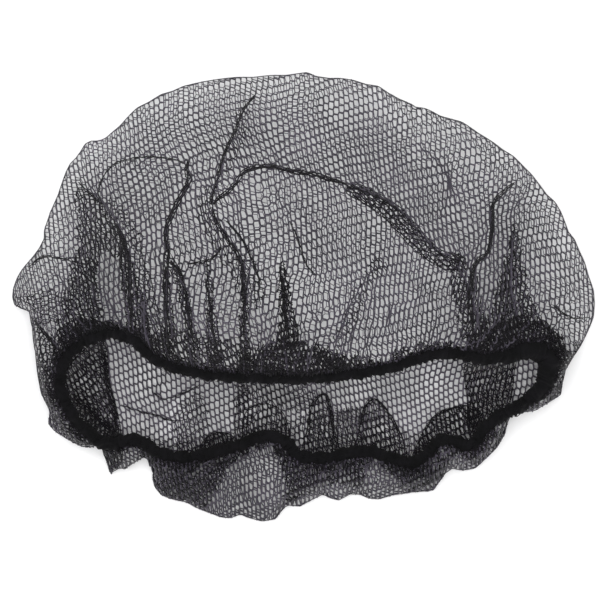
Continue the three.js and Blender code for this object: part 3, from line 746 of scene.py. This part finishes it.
ownCell = cell.ravel()
firstEnds = np.stack([ownCell, shifted(-1, 1), shifted(0, 1)], 1)  # cell of the first-kind knot
strandA = np.where(firstEnds >= 0, firstEnds * 2, -1).ravel()
strandB = np.repeat(ownCell * 2 + 1, 3)
strandOf = np.full((knotCount, 3), -1)  # strands at each knot
strandOf[ownCell * 2 + 1] = np.stack([ownCell * 3, ownCell * 3 + 1, ownCell * 3 + 2], 1)
for which, back in enumerate(((0, 0), (1, -1), (0, -1))):
    other = shifted(*back)
    strandOf[ownCell * 2, which] = np.where(other >= 0, other * 3 + which, -1)
strandFine = strandA >= 0
middles = np.where(strandFine[:, None], (knots[strandA] + knots[strandB]) / 2, 0)


# The outline's roll: cloth near the edge turns up, so its cells crowd together there
def rollEdge(p):
    distance = look(edgeField, p)
    way = unit(lookBoth(edgeSlopes, p))
    radius = mesh["rollRadius"]
    run = distance + (math.pi / 2 - 1) * radius
    bent = radius * (1 - np.cos(np.clip(run / radius, 0, math.pi / 2)))
    rolled = np.where(run < 0, run, np.where(run < radius * math.pi / 2, bent, distance))
    return p + way * (rolled - distance)[:, None] * (np.abs(distance) < mesh["rollHold"])[:, None]


def upperDrift(p):  # slow slide of the upper layer over the lower one, none at the outline
    size = mesh["drift"] * softStep(look(edgeField, p) / mesh["driftReach"])
    a, b, c, d = (p[:, k % 2] / wave + phase for k, (wave, phase) in enumerate(mesh["driftWaves"]))
    return p + np.column_stack([np.sin(a) + np.sin(b), np.sin(c) - np.cos(d)]) * size[:, None]


# Slide of the lower layer where it lies under the crown: slow waves across and along, each of a
# length in millimetres for a radian
def lowerDrift(p):
    hidden = softStep(look(loopField, p) / mesh["hiddenReach"]) * softStep(look(edgeField, p) / mesh["hiddenReach"])
    dx = np.sin(p[:, 1] / 7.3 + 1.4 * np.sin(p[:, 0] / 17)) + 0.8 * np.sin(p[:, 0] / 9.1 + p[:, 1] / 13)
    dy = np.sin(p[:, 0] / 8.3 + 1.2 * np.sin(p[:, 1] / 21 + 0.7)) + 0.8 * np.sin(p[:, 1] / 11.7 - p[:, 0] / 15)
    return p + mesh["lowerDrift"] * hidden[:, None] * np.column_stack([dx, dy])


# The lower layer's ripples: two crossing waves of such lengths, never below the table, none at the
# outline
def floorRipple(p):
    wave = np.sin(p[:, 0] / 5.3 + 0.8 * np.sin(p[:, 1] / 19)) * np.sin(p[:, 1] / 7.9 + 0.9 * np.sin(p[:, 0] / 23))
    return mesh["floorRipple"] * (1 + 0.7 * wave) * softStep(look(edgeField, p) / mesh["rippleReach"])


# Height of the upper layer, which comes down to the roll at the outline
def topHeight(p):
    edge = np.maximum(look(edgeField, p), 0)
    return blend(mesh["rollHeight"], look(heightField, p), 1 - np.exp(-edge / mesh["rollReach"]))


def layTop(p):
    q, lift = foldCloth(upperDrift(p), crownLines + wrinkleLines + pleatLines, look(edgeField, p))
    q = rollEdge(q)
    away = np.maximum(look(loopField, q), 0)
    return np.column_stack([q, topHeight(q) + lift * softStep(away / mesh["liftEase"])])


def layFloor(p):
    p = lowerDrift(p * mesh["floorSize"])
    q, lift = foldCloth(p, floorLines, look(edgeField, p))
    q = rollEdge(q)
    edge = np.maximum(look(edgeField, q), 0)
    z = blend(mesh["floorHeight"], mesh["rollHeight"], np.exp(-edge / mesh["rollReach"]))
    return np.column_stack([q, z + lift + floorRipple(q)])


crownLines, floorLines = foldLines("crown"), foldLines("mouth")
pleatLines = gatherLines()
wrinkleLines = wrinkles()


def squareRing(left, high):  # four corners of a tube, from the right low one round by the left
    return np.stack([-left - high, left - high, left + high, high - left], 1)


def sideQuads(first, second, k):  # side k of a four-sided tube, between the corners of two sections
    return np.stack([first[k], second[k], second[(k + 1) % 4], first[(k + 1) % 4]], 1)


def sideUv(u0, u1, k):  # its thread coordinates: along the strand in millimetres, and once around it
    corners = ((u0, k), (u1, k), (u1, k + 1), (u0, k + 1))
    return np.stack([np.column_stack([u, np.full(len(u), v / 4)]) for u, v in corners], 1).reshape(-1, 2)


# One layer of strands. Every knot is a three-sided prism whose sides open into the strands, and
# every strand is a four-sided tube, with a section halfway if the middles' places are given. So the
# whole is one closed skin. A strand that runs out of the layer is cut where its depth comes to 0.
def knitLayer(knot3, middle3, depthIn, normalAt, halfAt, ownKnot):
    inside = depthIn > 0
    a, b = np.where(strandFine, strandA, 0), strandB
    one, other = np.where(inside[a], a, b), np.where(inside[a], b, a)
    strands = np.where(strandFine & inside[one] & ownKnot[one])[0]
    one, other = one[strands], other[strands]
    both = inside[other]  # the rest are cut where the layer ends
    share = depthIn[one] / np.maximum(depthIn[one] - depthIn[other], 1e-6)
    cut3 = knot3[one] + (knot3[other] - knot3[one]) * share[:, None]
    from3, to3 = knot3[one], np.where(both[:, None], knot3[other], cut3)
    toKnot = np.where(both & ownKnot[other], other, -1)

    # Hubs: the corners stand between neighbouring strands, turned about the cloth's own normal
    used = np.unique(np.concatenate([one, toKnot[toKnot >= 0]]))
    hubOf = np.full(knotCount, -1)
    hubOf[used] = np.arange(len(used))
    place = knot3[used]
    normal, half = normalAt(place), halfAt(place)[:, None]
    right = unit(np.column_stack([normal[:, 2], np.zeros(len(used)), -normal[:, 0]]))
    forward = np.cross(normal, right)
    hubStrands = strandOf[used]
    far = np.where((used % 2 == 1)[:, None], strandA[hubStrands], strandB[hubStrands])
    toward = knot3[np.maximum(far, 0)] - place[:, None]
    turn = np.arctan2((toward * forward[:, None]).sum(2), (toward * right[:, None]).sum(2))
    turn = np.where((hubStrands < 0) | (far < 0), np.array(mesh["loneTurns"]), turn) % fullTurn
    order = turn.argsort(1)
    sortedTurn = np.take_along_axis(turn, order, 1)
    gap = np.roll(sortedTurn, -1, 1) + [0, 0, fullTurn] - sortedTurn
    radius = half / np.clip(np.sin(gap / 2), mesh["bluntest"], 1)
    corner = place[:, None] + radius[..., None] * turned(sortedTurn + gap / 2, right[:, None], forward[:, None])
    thick = (half * normal)[:, None]
    points = [np.concatenate([corner + thick, corner - thick], 1).reshape(-1, 3)]  # 6 for each hub
    rank = order.argsort(1)

    # Corners of a hub's side, in the order right low, left low, left high, right high, as seen
    # from the hub outwards
    def hubSide(hub, r):
        high = hub * 6
        return np.stack([high + 3 + (r - 1) % 3, high + 3 + r, high + r, high + (r - 1) % 3], 1)

    def hubSection(knot, strand):
        hub = hubOf[knot]
        r = rank[hub, (hubStrands[hub] == strand[:, None]).argmax(1)]
        return hubSide(hub, r), hub * 3 + r

    def openSection(centre, way):
        n = normalAt(centre)
        left = unit(np.cross(n, way))
        corners = squareRing(left, np.cross(way, left)) * halfAt(centre)[:, None, None] + centre[:, None]
        start = sum(len(part) for part in points)
        points.append(corners.reshape(-1, 3))
        return start + np.arange(len(centre))[:, None] * 4 + np.arange(4)

    way = unit(to3 - from3)
    startSection, startSide = hubSection(one, strands)
    sections = [startSection]
    if middle3 is not None:
        sections.append(openSection(np.where(both[:, None], middle3[strands], (from3 + to3) / 2), way))
    joined = toKnot >= 0
    endSection = np.empty_like(startSection)
    section, endSide = hubSection(toKnot[joined], strands[joined])
    endSection[joined] = section[:, [1, 0, 3, 2]]
    endSection[~joined] = openSection(to3[~joined], way[~joined])
    sections.append(endSection)
    quads = [sideQuads(first.T, second.T, k) for first, second in zip(sections, sections[1:]) for k in range(4)]
    quads.append(endSection[~joined][:, ::-1])  # caps where a strand ends
    bare = np.setdiff1d(np.arange(len(used) * 3), np.concatenate([startSide, endSide]))
    quads.append(hubSide(bare // 3, bare % 3))
    base = (np.arange(len(used)) * 6)[:, None]
    triangles = np.concatenate([base + [0, 1, 2], base + [5, 4, 3]])
    length = np.linalg.norm(to3 - from3, axis=1) / (len(sections) - 1)
    uv = [sideUv(length * n, length * (n + 1), k) for n in range(len(sections) - 1) for k in range(4)]
    quads, uv = np.concatenate(quads), np.concatenate(uv)
    rest = np.zeros((len(quads) * 4 - len(uv) + len(triangles) * 3, 2))
    return np.concatenate(points), quads, triangles, np.concatenate([uv, rest])


# Several layers joined into one mesh
def joinLayers(layers):
    points, quads, triangles, quadUv, triangleUv = [], [], [], [], []
    start = 0
    for p, q, t, uv in layers:
        points.append(p)
        quads.append(q + start)
        triangles.append(t + start)
        quadUv.append(uv[: len(q) * 4])
        triangleUv.append(uv[len(q) * 4:])
        start += len(p)
    return tuple(np.concatenate(v) for v in (points, quads, triangles)) + (np.concatenate(quadUv + triangleUv),)


def addObject(name, data):
    item = bpy.data.objects.new(name, data)
    bpy.context.collection.objects.link(item)
    return item


# A mesh object at the origin from points in plan millimetres, four-sided and three-sided faces
def makePiece(name, points, quads, triangles, uv=None):
    points = points.copy()
    points[:, :2] += setDown
    data = bpy.data.meshes.new(name)
    loopsCount = len(quads) * 4 + len(triangles) * 3
    data.vertices.add(len(points))
    data.vertices.foreach_set("co", (points * 0.001).ravel())
    data.loops.add(loopsCount)
    data.loops.foreach_set("vertex_index", np.concatenate([quads.ravel(), triangles.ravel()]).astype(np.int32))
    starts = np.concatenate([np.arange(len(quads)) * 4, len(quads) * 4 + np.arange(len(triangles)) * 3])
    data.polygons.add(len(starts))
    data.polygons.foreach_set("loop_start", starts.astype(np.int32))
    data.update(calc_edges=True)
    data.validate()
    data.polygons.foreach_set("use_smooth", np.ones(len(data.polygons), bool))
    if uv is not None:
        layer = data.uv_layers.new(name="thread")
        layer.data.foreach_set("uv", uv.ravel())
    data.update()
    print(name, "triangles:", len(quads) * 2 + len(triangles))
    return addObject(name, data)


def topNormal(p):
    return unit(np.column_stack([-lookBoth(heightSlopes, p), np.ones(len(p))]))


def floorNormal(p):
    return np.tile([0.0, 0.0, 1.0], (len(p), 1))


def crownward(p):  # 0 on the flounce's side of the mouth, 1 from the elastic's far side on
    return softStep((p[:, 1] / halfDepth - thread["crownFrom"]) / thread["crownEase"])


def topHalf(p):  # half the thickness of the upper layer's strands, finer near the crown's outline
    crown = blend(thread["rim"], thread["crown"], softStep(look(edgeField, p) / thread["rimReach"]))
    return blend(thread["flounce"], crown, crownward(p)) / 2


def floorHalf(p):  # and of the lower layer's, which change as they pass under the elastic
    under = blend(thread["underFlounce"], thread["underCrown"], crownward(p))
    hidden = softStep((look(loopField, p) + 1.0) / thread["bandReach"])
    return blend(thread["mouth"], under, hidden) / 2


print("laying the net")
topKnots, topMiddles = layTop(knots), layTop(middles)
floorKnots, floorMiddles = layFloor(knots), layFloor(middles)
topDepth = np.minimum(look(edgeField, topKnots), look(loopField, topKnots))
floorDepth = look(edgeField, floorKnots)
leftHalf = ci.ravel() < 0
leftKnots = np.repeat(leftHalf, 2)


# A single strand along a line: a four-sided tube, closed on itself or capped at both ends
def threadAlong(line, thickness, closed):
    n = len(line)
    way = unit(np.roll(line, -1, 0) - np.roll(line, 1, 0) if closed else np.gradient(line, axis=0))
    left = unit(np.cross([0.0, 0.0, 1.0], way))
    points = line[:, None] + squareRing(left, np.cross(way, left)) * thickness / 2
    a = np.arange(n if closed else n - 1)
    b = (a + 1) % n
    length = lineMark(line)
    u0, u1 = length[a], np.where(b > 0, length[b], length[-1])
    corner = np.arange(4)[:, None]
    quads = [sideQuads(a * 4 + corner, b * 4 + corner, k) for k in range(4)]
    uv = [sideUv(u0, u1, k) for k in range(4)]
    if not closed:
        quads.append(np.array([[0, 1, 2, 3], [n * 4 - 1, n * 4 - 2, n * 4 - 3, n * 4 - 4]]))
        uv.append(np.zeros((8, 2)))
    return points.reshape(-1, 3), np.concatenate(quads), np.zeros((0, 3), int), np.concatenate(uv)


# The fold lines at a tuck's edge, where the tuck doesn't run on under the elastic
def edgeThreads(line, where, over):
    free = roomFor(line, where) > tuck["edgeRoom"]
    start = 0 if free.all() else int(np.argmin(free))
    line, free = np.roll(line, -start, 0), np.roll(free, -start)
    line = np.column_stack([line, tuckHeight(line, where, over)])
    change = np.flatnonzero(np.diff(np.concatenate([[0], free.astype(int), [0]])))
    runs = [(a, b) for a, b in zip(change[::2], change[1::2]) if b - a > tuck["shortest"]]
    return [threadAlong(line[a:b], thread["edge"], False) for a, b in runs]


# How far in from a closed line each place lies: the nearest gap, with its sign from how often a
# level ray from the place crosses the line
def depthInside(p, line):
    depth = np.full(len(p), -99.0)
    near = np.where(((p > line.min(0) - 3) & (p < line.max(0) + 3)).all(1))[0]
    if len(near) == 0:
        return depth
    q = p[near]
    _, gap = nearestOf(q, line)
    a, b = line, np.roll(line, -1, 0)
    y = q[:, 1][:, None]
    spans = (a[None, :, 1] > y) != (b[None, :, 1] > y)
    rise = np.where(np.abs(b[:, 1] - a[:, 1]) < 1e-9, 1e-9, b[:, 1] - a[:, 1])
    meets = a[None, :, 0] + (y - a[None, :, 1]) * ((b[:, 0] - a[:, 0]) / rise)[None]
    inside = ((spans & (meets > q[:, 0][:, None])).sum(1) % 2) == 1
    depth[near] = np.where(inside, gap, -gap)
    return depth


# Height for what is tucked in: just under the crown's layer, or just over the floor's layer and
# up to the elastic at the mouth's rim
def tuckHeight(p, where, over):
    if where == "crown":
        return np.maximum(topHeight(p) - over, mesh["lowest"])
    rimRise = np.exp(-((look(loopField, p) / mesh["mouthRise"]) ** 2))
    level = mesh["floorHeight"] + floorRipple(p) + np.abs(over)
    return level * (1 - rimRise) + (look(heightField, p) - mesh["underBand"]) * rimRise


def roomFor(p, where):  # strands end in the elastic and at the outline
    loopSide = look(loopField, p) * (1 if where == "crown" else -1)
    return np.minimum(loopSide, look(edgeField, p) - mesh["endGap"])


def tuckLayers(number, row):
    name, where, count, turn, edge = row
    line = smoothLoop(planPoint(edge), 10)
    random = np.random.default_rng(tuck["seed"] + number)
    fray = tuck["fray"] if any(word in name for word in tuck["ragged"]) else 0.0
    fray = tuck["stripFray"] if "strip" in name else fray
    stout = thread["shade" if "shade" in name else "tuck"]
    layers = clippedLayers(line, where, count, turn, random, fray, stout)
    return layers if fray else layers + edgeThreads(line, where, tuck["over"][0][0])


# One layer of straight strands at given places and heights, ended at the elastic and the outline
def tuckedLayer(spots, level, depth, where, stout):
    place, normal = np.column_stack([spots, level]), topNormal if where == "crown" else floorNormal
    depth = np.minimum(depth, roomFor(spots, where))
    return knitLayer(place, None, depth, normal, lambda q: np.full(len(q), stout / 2), np.ones(knotCount, bool))


# Layers of lattice cut to a closed line, each turned and spaced a little otherwise than the last
def clippedLayers(line, where, count, turn, random, fray, stout):
    layers = []
    across, along = np.transpose(tuck["knots"])[:, :, None, None]
    swing, waveX, waveY = tuck["wave"]
    for k in range(count):
        angle = math.radians(turn + random.uniform(-tuck["turn"], tuck["turn"]))
        spin = np.array([[math.cos(angle), math.sin(angle)], [-math.sin(angle), math.cos(angle)]])
        columns, periods = (random.uniform(*shrink) for shrink in tuck["shrink"])
        x = (ci + across) * mesh["column"] * columns
        y = (cj + along) * mesh["period"] * periods + tuck["rise"] * x
        flat = np.stack([x, y], -1).transpose(1, 2, 0, 3).reshape(-1, 2)
        flat = flat - flat.mean(0) + random.uniform(-tuck["shift"], tuck["shift"], 2)
        flat += random.normal(0, tuck["jitter"], flat.shape)
        spots = flat @ spin + line.mean(0)
        sideways = np.sin(spots[:, 1] / waveX + k), np.sin(spots[:, 0] / waveY + 2 * k)
        spots += swing * np.column_stack(sideways)
        depth = depthInside(spots, line) - fray * random.uniform(-1, 1, len(spots))
        first, further = tuck["over"][k % 2]
        layers.append(tuckedLayer(spots, tuckHeight(spots, where, first + further * k), depth, where, stout))
    return layers


# Cloth bunched up right beside the elastic: a ring of uneven reach on its outer side
def ringLayers(count=500):
    random = np.random.default_rng(ring["seed"])
    share = np.arange(count) / count
    reach = np.full(count, ring["reach"])
    for waves in ring["waves"]:
        reach += ring["swing"] * np.sin(fullTurn * (share * waves + random.uniform(0, 1)))
    line = (loopPlace(share) + levelOut(share) * np.maximum(reach, ring["least"])[:, None])[:, :2]
    return clippedLayers(line, "crown", ring["layers"], 0.0, random, ring["fray"], thread["tuck"])


# A tight roll: a few columns of cells carried along the crease, crowded across it and humped
def rollLayer(number, row):
    where, _, width, path = row
    line = smoothPath(planPoint(path), roll["points"])
    mark = lineMark(line)
    random = np.random.default_rng(roll["seed"] + number)
    wander = random.uniform(0, fullTurn, 3)
    along = lambda s: np.stack([np.interp(s, mark, line[:, k]) for k in (0, 1)], -1)

    def carried(i, j):
        s = j * mesh["period"] * roll["period"] + roll["slant"] * i
        tip, thinnest = roll["taper"]
        taper = np.clip(np.minimum(s, mark[-1] - s) / tip, thinnest, 1)
        stray = roll["stray"] * sum(np.sin(s / wave + phase) for wave, phase in zip(roll["strayWaves"], wander))
        w = i * width * roll["column"] * taper + stray * taper
        way = unit(along(s + roll["ahead"]) - along(s - roll["ahead"]))
        place = along(s) + leftOf(way) * w[..., None]
        sideRoom = width * roll["half"] * taper - np.abs(w - stray * taper)
        return place, np.minimum(np.minimum(s, mark[-1] - s), sideRoom), w

    found = [carried(ci + a - 0.5, cj + rowSpan * roll["start"] + b) for a, b in tuck["knots"]]
    spots, depth, w = (np.stack([f[k] for f in found], 2) for k in range(3))
    spots = spots.reshape(-1, 2) + random.normal(0, roll["jitter"], (spots.size // 2, 2))
    high, sink = roll["hump"]
    hump = high * np.sqrt(np.clip(1 - (w.ravel() / width) ** 2, 0, 1)) - sink
    level = tuckHeight(spots, where, -roll["lift"] if where == "crown" else roll["mouthLift"]) + hump
    stout = thread["roll"] * np.clip(width / roll["fullWidth"], *roll["thickness"])
    return tuckedLayer(spots, level, depth.ravel(), where, stout)


def netPiece(name, *layers):
    return makePiece(name, *joinLayers(layers))


crownTucks, mouthTucks = [], []
for number, row in enumerate(tuckRows):
    (crownTucks if row[1] == "crown" else mouthTucks).extend(tuckLayers(number, row))
for number, row in enumerate(row for row in creases if row[2]):
    (crownTucks if row[0] == "crown" else mouthTucks).append(rollLayer(number, row))
crownTucks.extend(ringLayers())
rimLine = np.column_stack([fineOutline[::4], np.full(600, mesh["rollHeight"])])
crownTucks.append(threadAlong(rimLine, thread["edge"], True))
netPieces = [
    netPiece("net_top_left", knitLayer(topKnots, topMiddles, topDepth, topNormal, topHalf, leftKnots)),
    netPiece("net_top_right", knitLayer(topKnots, topMiddles, topDepth, topNormal, topHalf, ~leftKnots)),
    netPiece("net_floor_left", knitLayer(floorKnots, floorMiddles, floorDepth, floorNormal, floorHalf, leftKnots)),
    netPiece("net_floor_right", knitLayer(floorKnots, floorMiddles, floorDepth, floorNormal, floorHalf, ~leftKnots)),
    netPiece("net_crown_tucks", *crownTucks),
    netPiece("net_mouth_tucks", *mouthTucks),
]

# The elastic: a soft tube with irregular ribs where the net is caught in it
elastic = {
    "radius": 2.85,
    "around": 20,
    "step": 0.55,
    "ribPitch": 3.1,
    "ribHeight": 0.22,
    "lumps": 0.95,
    "endSwell": 2.3,  # where yarn bunches at the loop's two ends
    "swellReach": 0.035,  # as a share of the loop
    "fuzzCount": 2200,
    "fuzzLength": (1.2, 3.4),
    "fuzzThickness": 0.2,
    "fuzzRoot": 0.35,  # depth of its root
    "fuzzBow": 0.42,  # how far it leaves the elastic, as a share of its length
    "fuzzLowest": 0.3,
    "seed": 3,
}


# Radius of the tube: even ribs, their pitch pulled about by a slow wave, and slow lumps
def bandRadiusAt(share, angle):
    wave = lambda count, turns, phase=0.0: np.sin(fullTurn * share * count + turns * angle + phase)
    bell = lambda gap: np.exp(-((gap / elastic["swellReach"]) ** 2))
    wander = 1.1 * wave(23, 0, 0.7) + 0.8 * wave(41, 0, 2.0)
    rib = np.sin(fullTurn * (share * loopLength + wander) / elastic["ribPitch"] + 0.6 * np.sin(angle * 2))
    lump = wave(37, 1) + wave(61, -2, 1.0)
    tangle = wave(97, 2, 2.2 * lump) * wave(53, -1, 0.4)
    swell = bell((share + 0.488) % 1 - 0.5) + 0.1 * bell(share - 0.56)
    lumps = elastic["lumps"] * (0.25 * lump + 0.8 * tangle)
    ribs = elastic["ribHeight"] * (rib + 0.35 * wave(190, 3))
    return elastic["radius"] + ribs + lumps + elastic["endSwell"] * swell


def bandFrame(share):
    way = loopWay(share)
    side = unit(np.cross(way, [0.0, 0.0, 1.0]))
    return loopPlace(share), side, np.cross(side, way)


def makeBand():
    count, around = int(loopLength / elastic["step"]), elastic["around"]
    i, k = np.meshgrid(np.arange(count), np.arange(around), indexing="ij")
    share, angle = i / count, k / around * fullTurn
    centre, side, over = bandFrame(share)
    radius = bandRadiusAt(share, angle)[..., None]
    points = centre + radius * turned(angle, side, over)
    corners = ((0, 0), (1, 0), (1, 1), (0, 1))
    quads = np.stack([(i + a) % count * around + (k + b) % around for a, b in corners], -1)
    s, v = share * loopLength, angle / fullTurn
    uv = np.stack([np.stack([s + a * loopLength / count, v + b / around], -1) for a, b in corners], 2)
    none = np.zeros((0, 3), int)
    return makePiece("elastic_loop", points.reshape(-1, 3), quads.reshape(-1, 4), none, uv.reshape(-1, 2))


# Short ends of yarn on the elastic: three-sided threads that leave it and bow back along it
def makeFuzz(rings=5, sides=3):
    random = np.random.default_rng(elastic["seed"])
    n = elastic["fuzzCount"]
    share, angle = random.uniform(0, 1, n), random.uniform(0.0, fullTurn, n)
    centre, side, over = bandFrame(share)
    out = turned(angle, side, over)
    length = random.uniform(*elastic["fuzzLength"], n)[:, None]
    along = random.uniform(-1, 1, n)[:, None]
    t = np.linspace(0, 1, rings)[None, :, None]
    root = centre + out * (elastic["radius"] - elastic["fuzzRoot"])
    away = (out * length)[:, None] * np.sin(np.pi * t * 0.75) * elastic["fuzzBow"]
    line = root[:, None] + (loopWay(share) * along * length)[:, None] * t + away
    line[..., 2] = np.maximum(line[..., 2], elastic["fuzzLowest"])
    tangent = unit(np.gradient(line, axis=1))
    cross = unit(np.cross(tangent, out[:, None] + 0.01))
    third = np.cross(tangent, cross)
    corners = turned(np.arange(sides) / sides * fullTurn, cross[:, :, None], third[:, :, None])
    points = line[:, :, None] + corners * elastic["fuzzThickness"] / 2
    base = (np.arange(n) * rings * sides)[:, None]
    corner = lambda k, m: k * sides + m % sides
    quads = [
        base + [corner(k, m), corner(k + 1, m), corner(k + 1, m + 1), corner(k, m + 1)]
        for k in range(rings - 1) for m in range(sides)
    ]
    last = rings * sides - 1
    triangles = np.concatenate([base + [0, 1, 2], base + [last, last - 1, last - 2]])
    return makePiece("elastic_fuzz", points.reshape(-1, 3), np.concatenate(quads), triangles)


band = makeBand()
fuzz = makeFuzz()


def linearColour(hexColour):  # sRGB hex to linear
    parts = [int(hexColour[k:k + 2], 16) / 255 for k in (1, 3, 5)]
    return tuple(c / 12.92 if c <= 0.04045 else ((c + 0.055) / 1.055) ** 2.4 for c in parts) + (1.0,)


def addNode(tree, kind, settings=(), links=()):
    node = tree.nodes.new(kind)
    for key, value in dict(settings).items():
        if key in node.inputs:
            node.inputs[key].default_value = value
        else:
            setattr(node, key, value)
    for source, output, socket in links:
        tree.links.new(source.outputs[output], node.inputs[socket])
    return node


def newMaterial(name):
    material = bpy.data.materials.new(name)
    material.use_nodes = True
    material.node_tree.nodes.clear()
    return material, material.node_tree


# Colour that runs from one tone to another, from one place of the source's range to a later one
def toneRamp(tree, source, tones, ends=(0.0, 1.0)):
    ramp = addNode(tree, "ShaderNodeValToRGB", {}, [(source, "Fac", "Fac")])
    for stop, tone, end in zip(ramp.color_ramp.elements, tones, ends):
        stop.position = end
        stop.color = linearColour(tone)
    return ramp


def addShader(tree, settings, links):
    shader = addNode(tree, "ShaderNodeBsdfPrincipled", settings, links)
    addNode(tree, "ShaderNodeOutputMaterial", {}, [(shader, "BSDF", "Surface")])


# Yarn dyed black: two tones in soft patches, and a relief of its threads
def blackYarn(name, patchScale, tones, ends, relief, bump, settings):
    material, tree = newMaterial(name)
    place = addNode(tree, "ShaderNodeTexCoord")
    noise = {"Scale": patchScale, "Detail": 3.0}
    patch = addNode(tree, "ShaderNodeTexNoise", noise, [(place, "Object", "Vector")])
    kind, values, source = relief
    threads = addNode(tree, kind, values, [(place, source, "Vector")])
    raised = addNode(tree, "ShaderNodeBump", bump, [(threads, "Fac", "Height")])
    tint = toneRamp(tree, patch, tones, ends)
    addShader(tree, settings, [(tint, "Color", "Base Color"), (raised, "Normal", "Normal")])
    return material


# Spun nylon thread, dyed black: a little sheen along it, its twist drawn coarse enough to show.
# Where the cloth lies loose its fuzz catches the light. The tucks' copy is darker and less shiny: painted shade for
# the shade that lies in the tucks.
def nylonNet(name, deep, pale, shine):
    twist = ("ShaderNodeTexWave", {"Scale": 0.55, "Distortion": 0.6, "bands_direction": "DIAGONAL"}, "UV")
    bump = {"Strength": 0.5, "Distance": 0.0001}
    surface = {"Roughness": 0.55, "IOR": 1.53, "Specular IOR Level": shine}
    surface |= {"Sheen Weight": 0.05, "Sheen Roughness": 0.4}
    return blackYarn(name, 45.0, (deep, pale), (0.35, 0.68), twist, bump, surface)


# Elastic covered in black yarn: matt, with a rough relief of fibres and darker patches
def coveredElastic(name):
    fibre = ("ShaderNodeTexNoise", {"Scale": 900.0, "Detail": 4.0}, "Object")
    bump = {"Strength": 0.7, "Distance": 0.0004}
    surface = {"Roughness": 0.9, "IOR": 1.5, "Specular IOR Level": 0.12}
    surface |= {"Sheen Weight": 0.02, "Sheen Roughness": 0.6}
    return blackYarn(name, 160.0, ("#040405", "#0c0b0e"), (0.35, 0.7), fibre, bump, surface)


looseNet = nylonNet("loose_nylon_net", "#2b2832", "#47424f", 0.4)
flatNet = nylonNet("flat_nylon_net", "#3b3841", "#57525e", 0.4)
# Same nylon as the loose net, in darker tones and with less shine: painted shade on all the tucked cloth, its rolls
# and the rim's thread
tuckShadeNet = nylonNet("tucked_nylon_net", "#060508", "#110e14", 0.12)
bandFinish = coveredElastic("covered_elastic")
for piece in netPieces:
    finish = tuckShadeNet if "tucks" in piece.name else flatNet if "floor" in piece.name else looseNet
    piece.data.materials.append(finish)
    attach(piece, "root")
    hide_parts("net_crown")
for piece in (band, fuzz):
    piece.data.materials.append(bandFinish)
    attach(piece, "root")
    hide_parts("elastic_band")

# Table, light and camera
studio = {
    "floorHalf": 4.0,
    "keyPower": 39.0,
    "keyPlace": (-0.15, 0.15, 1.9),
    "keySize": 2.2,
    "surround": 0.74,
    "cameraHeight": 2.4,
    "frameWidth": 0.2784,  # width of the photograph's frame at the height below
    "frameLevel": 0.015,
    "aim": (-0.0012, -0.0015),
    "sensor": 36.0,  # millimetres
    "clip": (0.05, 20.0),
}
half = studio["floorHalf"]
floorData = bpy.data.meshes.new("table")
corners = [(x * half, y * half, 0) for x, y in ((-1, -1), (1, -1), (1, 1), (-1, 1))]
floorData.from_pydata(corners, [], [(0, 1, 2, 3)])
floor = addObject("table", floorData)
whiteTable, tree = newMaterial("white_table")  # matt white, very slightly mottled
place = addNode(tree, "ShaderNodeTexCoord")
mottle = addNode(tree, "ShaderNodeTexNoise", {"Scale": 3.0}, [(place, "Object", "Vector")])
tint = toneRamp(tree, mottle, ("#f3f3f4", "#f7f7f7"))
addShader(tree, {"Roughness": 0.8}, [(tint, "Color", "Base Color")])
floorData.materials.append(whiteTable)

world = bpy.data.worlds.new("studio")
bpy.context.scene.world = world
world.use_nodes = True
surround = world.node_tree.nodes["Background"].inputs
surround["Color"].default_value = (1.0, 1.0, 1.0, 1.0)
surround["Strength"].default_value = studio["surround"]


def addLight(name, place, power, size):  # an area light that faces the origin
    data = bpy.data.lights.new(name, "AREA")
    data.energy = power
    data.size = size
    light = addObject(name, data)
    light.location = place
    direction = Vector((0, 0, 0)) - light.location
    light.rotation_euler = direction.to_track_quat("-Z", "Y").to_euler()


addLight("key", studio["keyPlace"], studio["keyPower"], studio["keySize"])

cameraData = bpy.data.cameras.new("camera")
cameraData.sensor_width = studio["sensor"]
cameraData.lens = studio["sensor"] * (studio["cameraHeight"] - studio["frameLevel"]) / studio["frameWidth"]
cameraData.clip_start, cameraData.clip_end = studio["clip"]
camera = addObject("camera", cameraData)
camera.location = (*studio["aim"], studio["cameraHeight"])
camera.rotation_euler = (0.0, 0.0, 0.0)
bpy.context.scene.camera = camera
bpy.context.scene.view_settings.view_transform = "Standard"
